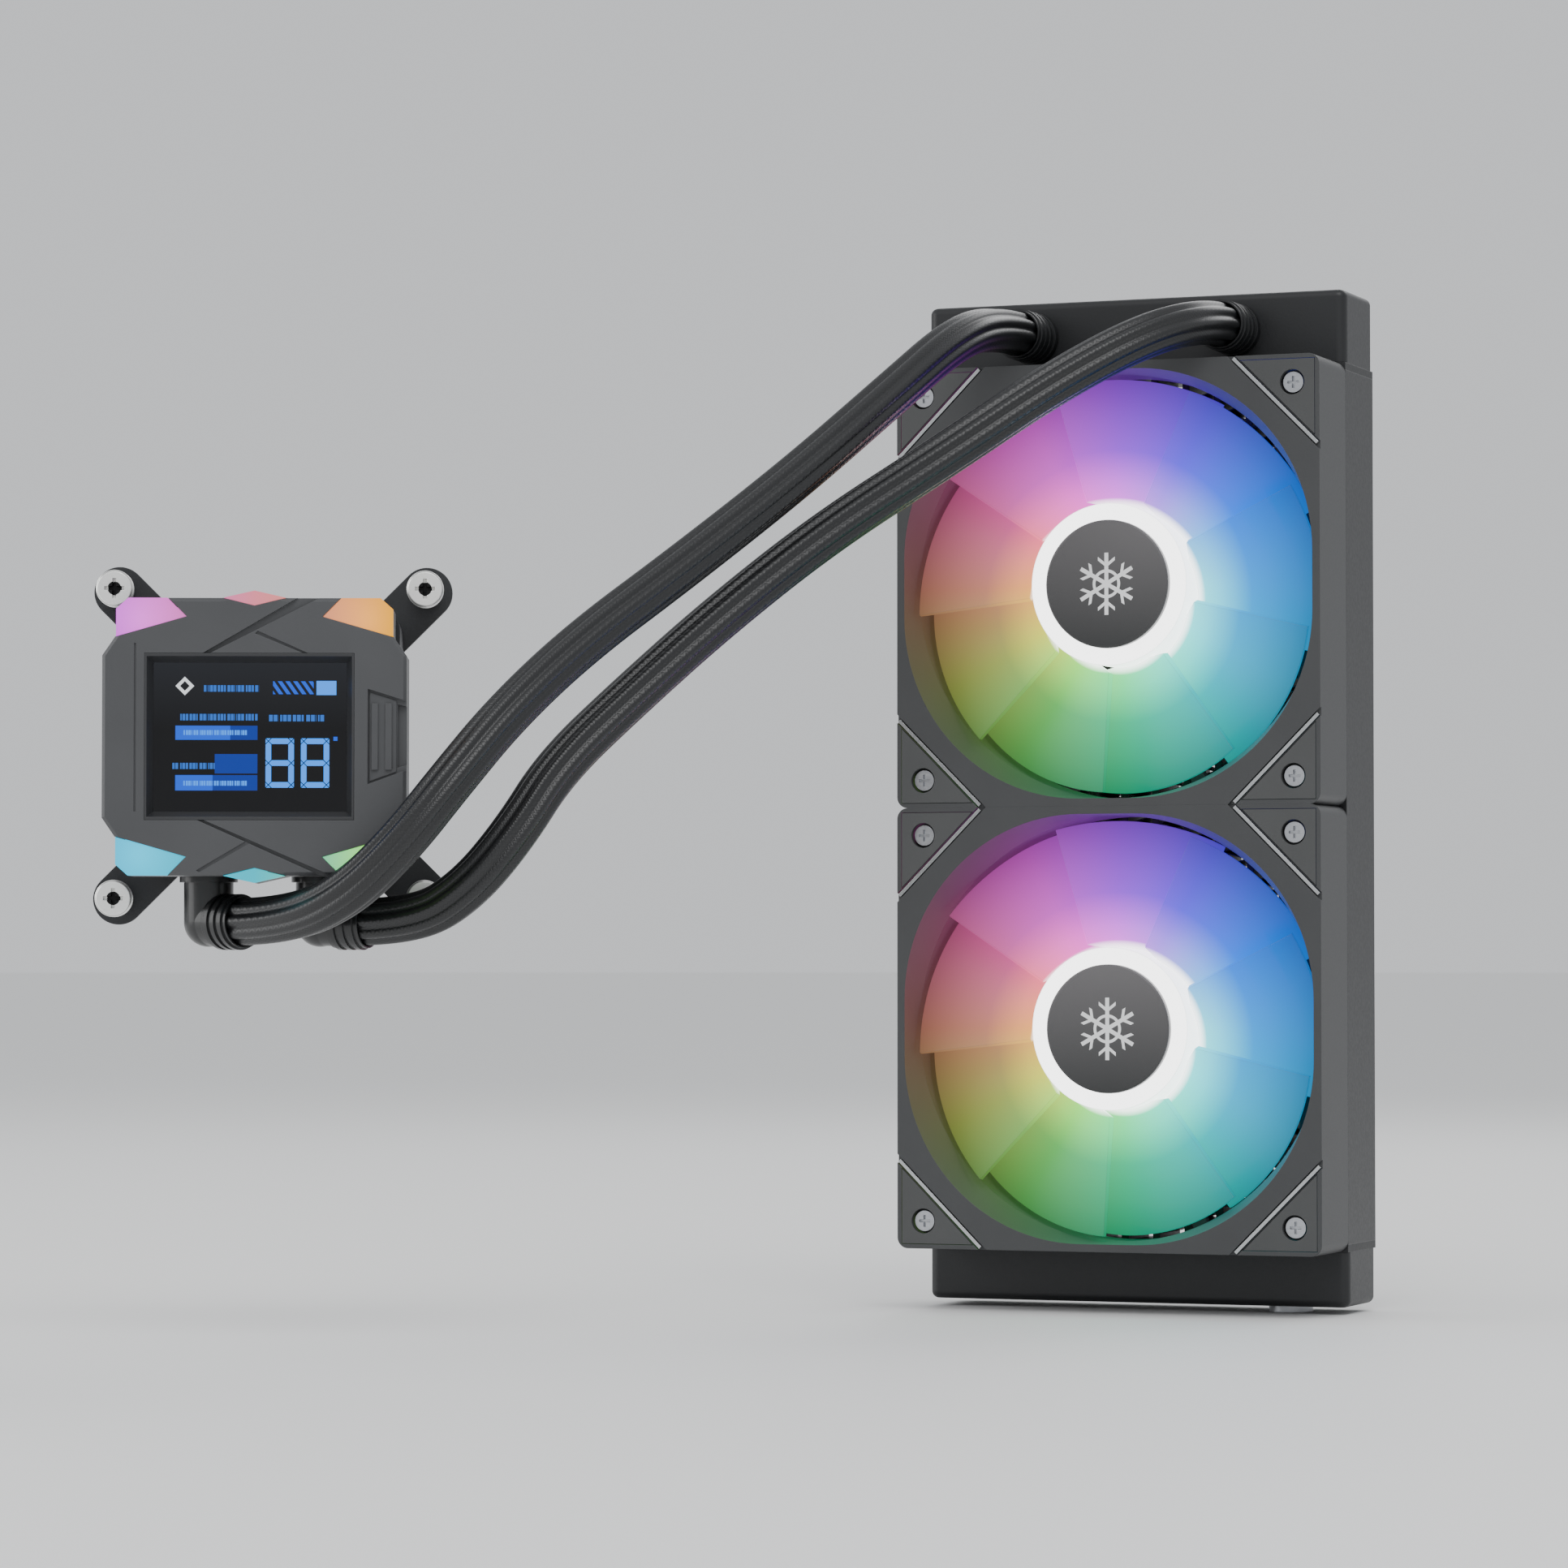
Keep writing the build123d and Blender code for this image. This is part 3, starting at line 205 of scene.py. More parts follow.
class Finish:
    """One material with its Principled shader."""

    def __init__(self, name, **constants):
        self.material = bpy.data.materials.new(name)
        self.material.use_nodes = True
        self.tree = self.material.node_tree
        self.shader = self.tree.nodes["Principled BSDF"]
        self.set(**constants)

    def feed(self, socket, value):
        """Links a value to a socket, or sets the socket's own number or colour."""
        if isinstance(value, Value):
            self.tree.links.new(value.socket, socket)
        elif socket.type == "RGBA" and len(value) == 3:
            socket.default_value = (*value, 1)
        else:
            socket.default_value = value

    def add(self, kind, settings=None, inputs=None):
        """Any shader node: its settings first, then the values or links of its sockets."""
        node = self.tree.nodes.new("ShaderNode" + kind)
        for key, value in (settings or {}).items():
            if key == "stops":
                self.set_stops(node.color_ramp, value)
            else:
                setattr(node, key, value)
        for key, value in (inputs or {}).items():
            self.feed(node.inputs[key], value)
        return Node(self, node)

    def set_stops(self, ramp, stops):
        """Gives a colour ramp its stops, each a place from 0 to 1 and a colour."""
        while len(ramp.elements) < len(stops):
            ramp.elements.new(1.0)
        for element, (place, colour) in zip(ramp.elements, stops):
            element.position = place
            element.color = (*colour, 1)

    def set(self, **sockets):
        """Sets or links the shader's sockets: base_color=... goes to Base Color."""
        for name, value in sockets.items():
            words = [w.upper() if w == "ior" else w.title() for w in name.split("_")]
            self.feed(self.shader.inputs[" ".join(words)], value)

    def mix(self, first, second, share):
        """A colour between two colours."""
        inputs = {0: share, 6: first, 7: second}
        return self.add("Mix", {"data_type": "RGBA"}, inputs).out(2)

    def place(self):
        """The point's place in the frame, in millimetres."""
        return self.add("TexCoord").out("Object") * 1000.0

    def facing(self):
        """The direction that the surface faces."""
        return self.add("NewGeometry").out("Normal")

    def noise(self, where, size, detail=3.0):
        """Cloudy noise from 0 to 1, with clouds about `size` millimetres across."""
        inputs = {"Vector": where, "Scale": 1 / size, "Detail": detail}
        return self.add("TexNoise", None, inputs).out(0)

    def bump(self, height, depth, strength=1.0, normal=None):
        """A bump whose height of 1 stands `depth` millimetres proud."""
        inputs = {"Height": height, "Distance": depth * mm, "Strength": strength}
        if normal is not None:
            inputs["Normal"] = normal
        self.set(normal=self.add("Bump", None, inputs).out(0))

    def rounded(self, radius):
        """Normals that roll over sharp edges, as a moulded or coated edge does."""
        return self.add("Bevel", {"samples": 4}, {"Radius": radius * mm}).out(0)

    def edges(self, normal):
        """A mask of the edges: where the rolled normal leaves the true one."""
        return (1 - normal.dot(self.facing())).rising(0.02, 0.25)


def paint(finish, *names):
    """Gives pieces a finish in place of the plain one that they came with."""
    for name in names:
        nodes[name].data.materials.clear()
        nodes[name].data.materials.append(finish.material)


def linear(code):
    """A colour written as six hexadecimal digits, turned to the linear numbers shaders use."""
    parts = [int(code[i : i + 2], 16) / 255 for i in (0, 2, 4)]
    return tuple(p / 12.92 if p <= 0.04045 else ((p + 0.055) / 1.055) ** 2.4 for p in parts)


print("mid grey is", [round(part, 3) for part in linear("808080")])

# %% [markdown]
# ## Hoses
# Each hose is rubber in a woven sleeve, 12 mm thick, and leads from an elbow under the pump
# to the radiator's top tank. A hose is stiff, so it leaves both ends straight and bends in
# long sweeps. It could be simulated, but both ends are fixed and its line is known, so it is
# a smooth spline with a few control points. The bevel gives it its thickness, and a profile
# of rounded lobes gives the sleeve the lengthwise lines that catch the light on a real one.

# %% Hose profile and routes
hose_diameter = 0.012
elbow_leg = 9.0
lobe_count = 9
lobe_depth = 0.0009
steps_per_lobe = 8


def hose_lead(across, swing, reach):
    """The elbow's face, and a corner straight out from it."""
    middle = on_pump(across, -45.0, 0.5)
    swing_angle = math.radians(swing)
    heading = pump_across * math.cos(swing_angle) + pump_out * math.sin(swing_angle)
    return [middle + heading * elbow_leg * mm, middle + heading * reach * mm]


def lobed_profile(name, radius):
    """A closed ring of rounded lobes, used as a hose's cross-section."""
    data = bpy.data.curves.new(name, "CURVE")
    data.dimensions = "2D"
    data.fill_mode = "NONE"
    steps = lobe_count * steps_per_lobe
    ring = data.splines.new("POLY")
    ring.points.add(steps - 1)
    for i, point in enumerate(ring.points):
        angle = 2 * math.pi * i / steps
        reach = radius - lobe_depth * (1 - abs(math.cos(lobe_count * angle / 2)))
        point.co = (reach * math.cos(angle), reach * math.sin(angle), 0, 1)
    ring.use_cyclic_u = True
    profile = bpy.data.objects.new(name, data)
    bpy.context.scene.collection.objects.link(profile)
    profile.hide_render = True
    profile.hide_viewport = True
    return profile


hose_profile = lobed_profile("hose_profile", hose_diameter / 2)
left_route = hose_lead(-15, 45, 29) + [
    Vector((-0.1315, -0.2450, -0.0260)),
    Vector((-0.1170, -0.2440, -0.0130)),
    Vector((-0.1070, -0.2360, 0.0030)),
    Vector((-0.0990, -0.2210, 0.0200)),
    Vector((-0.0890, -0.1990, 0.0380)),
    Vector((-0.0740, -0.1710, 0.0580)),
    Vector((-0.0560, -0.1380, 0.0830)),
    Vector((-0.0410, -0.1080, 0.1070)),
    Vector((-0.0320, -0.0840, 0.1240)),
    Vector((-0.0290, -0.0600, 0.1300)),
    Vector((-0.0290, -0.0370, 0.1300)),
]
right_route = hose_lead(13, 25, 27) + [
    Vector((-0.1120, -0.2160, -0.0240)),
    Vector((-0.1020, -0.2100, -0.0100)),
    Vector((-0.0950, -0.2000, 0.0070)),
    Vector((-0.0830, -0.1820, 0.0250)),
    Vector((-0.0680, -0.1600, 0.0460)),
    Vector((-0.0490, -0.1340, 0.0690)),
    Vector((-0.0270, -0.1070, 0.0900)),
    Vector((-0.0030, -0.0860, 0.1110)),
    Vector((0.0180, -0.0710, 0.1250)),
    Vector((0.0290, -0.0530, 0.1300)),
    Vector((0.0290, -0.0370, 0.1300)),
]

# %% [markdown]
# The sleeve is fine black yarn, woven round the tube. The weave is drawn from the curve's
# own coordinates, one along the hose and one round it, because they follow every bend. Two
# sets of slanting threads cross, and each hides the other in turn, like a basket. The yarn
# is tight and a little shiny, so the weave shows only up close.

# %% Sleeve finish
sleeve = Finish("braided_sleeve", specular_ior_level=0.6)
threads_round = 40
threads_along = 320


def weave(finish, along, around):
    """Heights of two crossing sets of threads, and which set is on top."""
    lean = along * threads_along
    turn = around * threads_round
    right_high = maths("SINE", maths("FRACT", lean + turn) * math.pi)
    left_high = maths("SINE", maths("FRACT", lean - turn) * math.pi)
    over = maths("SINE", lean * math.pi) > 0
    return right_high * over + left_high * (1 - over), over


uv = sleeve.add("TexCoord").out("UV")
uv_parts = sleeve.add("SeparateXYZ", None, {0: uv})
height, over = weave(sleeve, uv_parts.out("X"), uv_parts.out("Y"))
fuzz = sleeve.noise(sleeve.place(), 1.6)
# The yarn's tone varies at random, and the weave's low places are painted darker as painted shade
# between the threads.
yarn_tone_and_shade = sleeve.mix(linear("08090a"), linear("1b1c1e"), height * 0.6 + fuzz * 0.4)
sleeve.set(base_color=yarn_tone_and_shade, roughness=0.46 - height * 0.14)
sleeve.bump(height + fuzz * 0.3, 0.07, 0.4)


def make_hose(name, route):
    """A smooth spline along a route's control points, with the lobed profile round it."""
    data = bpy.data.curves.new(name, "CURVE")
    data.dimensions = "3D"
    spline = data.splines.new("NURBS")
    spline.points.add(len(route) - 1)
    for point, place in zip(spline.points, route):
        point.co = (*place, 1)
    spline.order_u = 3
    spline.use_endpoint_u = True
    spline.resolution_u = 16
    data.bevel_mode = "OBJECT"
    data.bevel_object = hose_profile
    data.use_fill_caps = True
    data.materials.append(sleeve.material)
    hose = bpy.data.objects.new(name, data)
    bpy.context.scene.collection.objects.link(hose)
    return hose


for side, route, length in (("left", left_route, 0.335), ("right", right_route, 0.318)):
    hose = make_hose(f"sleeved_hose_{side}", route)
    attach(hose, "cooler")
    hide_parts(f"hose_{side}")
    print(hose.name, len(route), "control points")

# %% [markdown]
# ## Light and floor
# A studio shot of a dark object needs large, soft lights, so that its edges are drawn by
# long gentle highlights and not by hard spots. Three area lights do it: a wide one above and
# in front, a weaker one from the left, and a strip behind. A pale sky fills the shadows. The
# floor is a disc so wide and pale that it nearly joins the sky.

# %% Light and floor
floor_level = frame_box[0].z
floor_mesh = bpy.data.meshes.new("floor")
floor_build = bmesh.new()
bmesh.ops.create_circle(floor_build, cap_ends=True, segments=96, radius=40)
bmesh.ops.translate(floor_build, verts=floor_build.verts, vec=(0, 0, floor_level))
floor_build.to_mesh(floor_mesh)
floor_build.free()
floor = bpy.data.objects.new("floor", floor_mesh)
bpy.context.scene.collection.objects.link(floor)
floor_finish = Finish("pale_floor", base_color=linear("f3f3f2"), roughness=0.6)
floor_mesh.materials.append(floor_finish.material)

world = bpy.data.worlds.new("studio")
world.use_nodes = True
sky = world.node_tree.nodes["Background"]
sky.inputs["Color"].default_value = (*linear("dfe1e4"), 1)
sky.inputs["Strength"].default_value = 1.0
bpy.context.scene.world = world


def soft_light(name, place, target, size, power):
    """A rectangular area light that faces a point."""
    data = bpy.data.lights.new(name, "AREA")
    data.shape = "RECTANGLE"
    data.size, data.size_y = size
    data.energy = power
    light = bpy.data.objects.new(name, data)
    bpy.context.scene.collection.objects.link(light)
    light.location = place
    light.rotation_mode = "QUATERNION"
    light.rotation_quaternion = (Vector(target) - Vector(place)).to_track_quat("-Z", "Y")


soft_light("key_light", (0.5, -1.3, 1.5), aim, (1.4, 1.0), 16)
soft_light("left_light", (-1.5, -0.9, 0.5), aim, (0.9, 1.2), 9)
soft_light("back_light", (0.2, 1.3, 1.1), aim, (1.6, 0.5), 9)
print("floor at", round(floor_level, 4))

# %% [markdown]
# ## Moulded plastic
# The fan frames, corner covers, pump cover and elbows are moulded plastic. A mould is spark
# eroded, which leaves a fine grain all over, and its corners are never quite sharp. The
# Bevel node rolls the edges over without new faces, and where it turns the surface there is
# an edge that hands have rubbed a little paler and smoother.


# %% Moulded plastic
def moulded_plastic(name, colour, roughness, grain=0.35, edge=0.25, **constants):
    """Plastic with spark-eroded grain, rolled edges and a slight rub along them."""
    finish = Finish(name, **constants)
    where = finish.place()
    rolled = finish.rounded(edge)
    rubbed = finish.edges(rolled)
    grains = finish.noise(where, grain, 2.0)
    clouds = finish.noise(where, 18.0)
    base = linear(colour)
    dull = finish.mix(tuple(v * 0.86 for v in base), tuple(v * 1.14 for v in base), clouds)
    finish.set(base_color=finish.mix(dull, tuple(min(1, v * 1.9) for v in base), rubbed * 0.5))
    finish.set(roughness=roughness + grains * 0.12 - rubbed * 0.1 + clouds * 0.06)
    finish.bump(grains, 0.03, 0.5, rolled)
    return finish


corner_rubber = moulded_plastic("corner_rubber", "454646", 0.56, 0.28)
cover_plastic = moulded_plastic("cover_plastic", "47484a", 0.36)
bezel_plastic = moulded_plastic("bezel_plastic", "313234", 0.3, 0.2)
housing_plastic = moulded_plastic("housing_plastic", "26272a", 0.45, 0.5)
elbow_plastic = moulded_plastic("elbow_plastic", "141516", 0.26, 0.3, 0.3, coat_weight=0.2)
impeller_plastic = moulded_plastic("impeller_plastic", "d9d6cc", 0.38)
seal_rubber = moulded_plastic("seal_rubber", "151515", 0.7, 0.2)
paint(corner_rubber, "fan_upper_corner_panels", "fan_lower_corner_panels")
paint(cover_plastic, "pump_cover", "side_clip")
paint(bezel_plastic, "display_bezel")
paint(housing_plastic, "pump_housing", "motor_can")
paint(elbow_plastic, "pump_elbow_left", "pump_elbow_right")
paint(impeller_plastic, "impeller")
paint(seal_rubber, "cold_plate_seal")
print("moulded finishes ready")

# %% [markdown]
# ## Coated and bare metal
# The radiator is brazed from aluminium and powder coated, so its skin is a fine orange peel
# and not a grain. The fins get a thin coat only, and bare metal glints where it is scraped.
# Drawn steel has marks that run one way, which is noise stretched along one axis. The
# pump's screws are plated white. The socket in each head and a thin groove round it are
# painted dark as painted shade, by a mask round each screw's axis.


# %% Metals
def powder_coat(name, colour, roughness):
    """Baked powder: a soft orange peel with tiny sparkles and rolled edges."""
    finish = Finish(name, specular_ior_level=0.5)
    where = finish.place()
    rolled = finish.rounded(0.4)
    rubbed = finish.edges(rolled)
    peel = finish.noise(where, 0.9, 2.0)
    specks = finish.noise(where, 0.16, 0.0).rising(0.62, 0.78)
    base = linear(colour)
    tone = finish.mix(base, tuple(v * 2.2 for v in base), specks * 0.35 + rubbed * 0.3)
    finish.set(base_color=tone, roughness=roughness + peel * 0.14 - rubbed * 0.08)
    finish.bump(peel, 0.06, 0.45, rolled)
    return finish


def brushed_metal(name, colour, roughness, direction=(1, 1, 12), line=0.12):
    """Bare metal with fine marks, packed closest along the largest number of `direction`."""
    finish = Finish(name, metallic=1.0, anisotropic=0.3)
    where = finish.place()
    rolled = finish.rounded(0.15)
    marks = finish.noise(where * direction, line * max(direction), 2.0)
    clouds = finish.noise(where, 6.0)
    base = linear(colour)
    tone = finish.mix(tuple(v * 0.78 for v in base), base, marks * 0.6 + clouds * 0.4)
    finish.set(base_color=tone, roughness=roughness + marks * 0.16 + clouds * 0.06)
    finish.bump(marks, 0.01, 0.4, rolled)
    return finish


head_height = 4.0
socket_radius = 1.7


def screw_heads(name):
    """White nickel screws in the corners of a square, with painted shade in each head's socket and
    in a groove round it.
    """
    finish = Finish(name, metallic=0.75)
    where = finish.place()
    from_middle = where - tuple(pump_origin / mm)
    across = abs(from_middle.dot(pump_across)) - screw_offset
    up = abs(from_middle.dot(pump_up)) - screw_offset
    out = maths("SQRT", across * across + up * up)
    head = from_middle.dot(pump_out) > -head_height
    # Painted shade: the socket in each head and a thin groove round it are painted dark.
    dark = (out < socket_radius) + out.between(4.3, 4.5) * 0.5
    turned = maths("SINE", out * 30.0)
    metal = finish.mix(linear("8b8d90"), linear("fbfbf8"), head)
    finish.set(base_color=finish.mix(metal, linear("1c1c1d"), dark * head))
    finish.set(roughness=0.3 + turned * 0.05 + finish.noise(where, 0.5) * 0.1)
    finish.bump(turned, 0.006, 0.5, finish.rounded(0.2))
    return finish


black_powder = powder_coat("black_powder", "18191b", 0.38)
bracket_powder = powder_coat("bracket_powder", "2a2b2d", 0.4)
core_coat = powder_coat("core_coat", "191a1c", 0.45)
bright_strip = brushed_metal("bright_strip", "c9cbcc", 0.18, (1, 1, 1))
zinc_steel = brushed_metal("zinc_steel", "c4c6ca", 0.24, (1, 6, 1))
spring_steel = brushed_metal("spring_steel", "b9bcc0", 0.22, (1, 1, 1))
bronze = brushed_metal("sintered_bronze", "a8804a", 0.4, (1, 1, 1), 0.4)
paint(black_powder, "tank_top", "tank_bottom", "tank_baffle", "side_channels")
paint(black_powder, "radiator_fitting_left", "radiator_fitting_right")
paint(bracket_powder, "mounting_bracket")
paint(core_coat, "core_tubes", "header_plates")
paint(bright_strip, "fan_upper_corner_trim", "fan_lower_corner_trim")
paint(zinc_steel, "fan_upper_screws", "fan_lower_screws", "fill_plug", "cold_plate_screws")
paint(zinc_steel, "fan_upper_shaft", "fan_lower_shaft", "impeller_pin")
paint(screw_heads("screw_heads"), *[f"mounting_screw_{i}" for i in range(1, 5)])
paint(bronze, "fan_upper_bearing", "fan_lower_bearing")

fins = Finish("coated_fins", metallic=0.6, specular_ior_level=0.5)
where = fins.place()
scrapes = fins.noise(where * (0.4, 1, 4), 1.5).rising(0.6, 0.85)
dust = fins.noise(where, 9.0)
fin_tone = fins.mix(linear("232427"), linear("3a3b3e"), dust)
fins.set(base_color=fins.mix(fin_tone, linear("8a8c90"), scrapes * 0.5))
fins.set(roughness=0.34 + dust * 0.2)
fins.bump(fins.noise(where, 0.5), 0.02, 0.3)
paint(fins, "core_fins")

# %% [markdown]
# The cold plate is copper, faced by a wide cutter that sweeps across it, so its marks are
# arcs about a point far to one side. Their height is the sine of the distance from it.

# %% Copper
copper = Finish("milled_copper", metallic=1.0)
where = copper.place()
cutter_middle = tuple(on_pump(-70, 0, -22) / mm)
arcs = maths("SINE", (where - cutter_middle).length() * 8.0)
stain = copper.noise(where, 8.0)
copper.set(base_color=copper.mix(linear("c98a64"), linear("8f5a3c"), stain * 0.7))
copper.set(roughness=0.2 + stain * 0.14 + arcs * 0.03)
copper.bump(arcs, 0.004, 0.5, copper.rounded(0.2))
paint(copper, "cold_plate")

# %% [markdown]
# ## Motor pieces and boards
# These sit inside and show only when the cooler is taken apart, but each has its own look:
# enamelled wire in tight rows on steel poles, a dull ferrite ring, and a board with tracks
# under its lacquer and lights that shine.


# %% Motor pieces and boards
radiator_depth = 27.0


def windings(name, middle, axis, inner, outer):
    """Copper wire in rows between two distances from an axis, and steel outside them."""
    finish = Finish(name, metallic=0.9)
    where = finish.place() - tuple(Vector(middle) / mm)
    along = where.dot(axis)
    out = maths("SQRT", where.dot(where) - along * along)
    rows = maths("SINE", along * 14.0)
    wound = out.between(inner, outer)
    wire = finish.mix(linear("6e2f14"), linear("d0763a"), rows * 0.5 + 0.5)
    finish.set(base_color=finish.mix(linear("8e9196"), wire, wound))
    finish.set(roughness=0.34 - rows * 0.08)
    finish.bump(rows * wound, 0.05, 0.6)
    return finish


def circuit_board(name, middle, axis, top):
    """Lacquered board: tracks show through, and all that stands above `top` shines."""
    finish = Finish(name, coat_weight=0.3, coat_roughness=0.2, emission_strength=1.5)
    where = finish.place() - tuple(Vector(middle) / mm)
    lit = where.dot(axis) > top
    islands = {"Vector": where, "Scale": 0.5}
    cells = finish.add("TexVoronoi", {"feature": "DISTANCE_TO_EDGE"}, islands)
    tracks = cells.out("Distance") < 0.07
    lacquer = finish.mix(linear("10231b"), linear("2c5a44"), tracks)
    finish.set(base_color=finish.mix(lacquer, (0.9, 0.9, 0.85), lit), roughness=0.4 - tracks * 0.1)
    finish.set(emission_color=finish.mix((0, 0, 0), (1, 1, 1), lit))
    finish.bump(tracks, 0.03, 0.5)
    return finish


ferrite = moulded_plastic("ferrite", "2e2c2b", 0.55, 0.6)
for name, centre in fan_centres.items():
    base = Vector((centre.x, frame_box[1].y - radiator_depth * mm, centre.z))
    fan_out = (0, -1, 0)
    paint(windings(f"fan_{name}_windings", base, fan_out, 7.2, 13.6), f"fan_{name}_stator")
    paint(circuit_board(f"fan_{name}_lacquer", base, fan_out, 4.15), f"fan_{name}_board")
    paint(ferrite, f"fan_{name}_magnet")
paint(windings("pump_windings", pump_origin, pump_out, 12.0, 17.9), "motor_stator")
paint(circuit_board("display_lacquer", pump_origin, pump_out, 20.45), "light_board")
print("inner finishes ready")

# %% [markdown]
# ## Lit fans
# The blades are frosted plastic with lights under the hub, so the colour turns round the
# axis like a clock and is whitest next to the hub. It fades outward because the light has
# spread by then. A colour ramp read by the angle gives the turn. Its first colour comes
# again at the end, so no seam shows at twelve o'clock. The colours are written purer than
# they look, because bright light always comes out paler in a picture. The frame's inner wall
# faces the blades and carries a painted glow, a dim copy of their light.

# %% Lit fans
blade_clock = "9a38f0 5a44ff 0078ff 0098f4 00b4e4 00c0b4 10c084 54b454 92a048 b87460 c8548c cc44cc"
hub_clock = "f060ff b080ff 70c0ff 70f0ff 60ffff 50ffd8 50f890 90f060 d0d040 f0a050 ff7080 ff60d0"
hub_edge = 22.0
blade_edge = 56.0
duct_edge = 57.0


def clock_ramp(finish, turn, colours):
    """A colour for each hour of the clock, blended in between."""
    shades = [linear(code) for code in colours.split()]
    stops = [(i / 12, shade) for i, shade in enumerate(shades + shades[:1])]
    return finish.add("ValToRGB", {"stops": stops}, {"Fac": turn}).out("Color")


def on_fan(finish, centre):
    """A point's place on a fan's face in millimetres: across, and up."""
    parts = finish.add("SeparateXYZ", None, {0: finish.place() - tuple(centre / mm)})
    return parts.out("X"), parts.out("Z")


def fan_clock(finish, centre):
    """The part of a turn clockwise from the top, and the distance from the fan's axis."""
    across, up = on_fan(finish, centre)
    turn = maths("ARCTAN2", across, up) / (2 * math.pi)
    return maths("FRACT", turn + 1.0), maths("SQRT", across * across + up * up)


def lit_colour(finish, centre):
    """The light in a fan's blades at a point: whitest at the hub, dim at the tips."""
    turn, out = fan_clock(finish, centre)
    near = clock_ramp(finish, turn, hub_clock)
    far = clock_ramp(finish, turn, blade_clock)
    colour = finish.mix(near, far, out.rising(hub_edge + 1.0, hub_edge + 15.0))
    dim = finish.mix(colour, colour * 0.35, out.rising(hub_edge + 6.0, blade_edge))
    return finish.mix((2.2, 2.2, 2.2), dim, out.rising(hub_edge - 0.4, hub_edge + 2.0))


def lit_frame(name, centre):
    """The fan frame's plastic, with a painted glow of the blades' light on the wall that faces
    them.
    """
    finish = moulded_plastic(name, "3c3d3e", 0.42, emission_strength=1.0)
    turn, out = fan_clock(finish, centre)
    inward = (finish.place() - tuple(centre / mm)) * (-1.0, 0.0, -1.0)
    towards = inward.dot(finish.facing()) / out
    share = towards.rising(0.1, 0.8) * (1 - out.rising(duct_edge, duct_edge + 5.0) * 0.5)
    # Painted glow: the frame is no lamp, but the wall that faces the blades is given their colour
    # as emission.
    finish.set(emission_color=clock_ramp(finish, turn, blade_clock) * (share * 0.22))
    return finish


def opal_blades(name, centre):
    """Frosted plastic that carries the fan's light, with painted shade and a painted highlight
    along the blade edges.
    """
    finish = Finish(name, emission_strength=1.8, specular_ior_level=0.3)
    colour = lit_colour(finish, centre)
    frost = finish.noise(finish.place(), 0.4, 2.0)
    rolled = finish.rounded(0.3)
    painted_edge = finish.edges(rolled)
    # Painted shade and highlight along the blade edges: the glow is darker there and the surface
    # paler, so each blade's edge shows.
    finish.set(emission_color=finish.mix(colour, colour * 0.55, painted_edge))
    finish.set(base_color=finish.mix(colour * 0.08, (0.3, 0.3, 0.3), painted_edge * 0.4))
    finish.set(roughness=0.42 + frost * 0.15)
    finish.bump(frost, 0.02, 0.35, rolled)
    return finish


for name, centre in fan_centres.items():
    paint(opal_blades(f"fan_{name}_light", centre), f"fan_{name}_rotor")
    paint(lit_frame(f"fan_{name}_charcoal_painted_glow", centre), f"fan_{name}_frame")

# %% [markdown]
# The hub cap is a dark disc turned on a lathe, paler towards its top as a painted reflection,
# with a plain printed snowflake for a mark. The snowflake is three bars that cross at the
# middle with a small ring round it, made of masks, because a print has no thickness to model.


# %% Hub caps
def hub_print(name, centre):
    """Turned dark disc, painted paler towards its top as a painted reflection, with a printed
    snowflake.
    """
    finish = Finish(name, specular_ior_level=0.5)
    across, up = on_fan(finish, centre)
    out = maths("SQRT", across * across + up * up)
    ink = out.between(3.1, 3.9)
    for turn in (30, 90, 150):
        angle = math.radians(turn)
        along = abs(across * math.cos(angle) + up * math.sin(angle))
        aside = abs(across * math.sin(angle) - up * math.cos(angle))
        bar = (aside < 0.55) * (along < 8.4)
        barb = (abs(along - aside * 0.8 - 4.9) < 0.5) * (aside < 2.4)
        ink = maths("MAXIMUM", ink, maths("MAXIMUM", bar, barb))
    rings = maths("SINE", out * 22.0)
    # Painted reflection: the disc's colour is paler towards its top.
    shade = finish.mix(linear("303131"), linear("676566"), up.rising(-17.0, 17.0))
    finish.set(base_color=finish.mix(shade, linear("f2f2f2"), ink))
    finish.set(roughness=0.36 + rings * 0.03 + ink * 0.1)
    finish.bump(rings * (1 - ink), 0.006, 0.5, finish.rounded(0.3))
    return finish


for name, centre in fan_centres.items():
    paint(hub_print(f"fan_{name}_cap_print", centre), f"fan_{name}_hub_cap")
print("fans lit")

# %% [markdown]
# ## Pump head
# The six windows are one opal moulding with lamps behind its corners. Each window has its own
# colour, so one ramp runs across the top row, another across the bottom row, and the height
# picks between them. A glow round each lamp keeps them from looking painted.


# %% Windows
def on_display(finish):
    """A point's place on the display's plane in millimetres: across, and up."""
    where = finish.place() - tuple(display_middle / mm)
    return where.dot(pump_across), where.dot(pump_up)


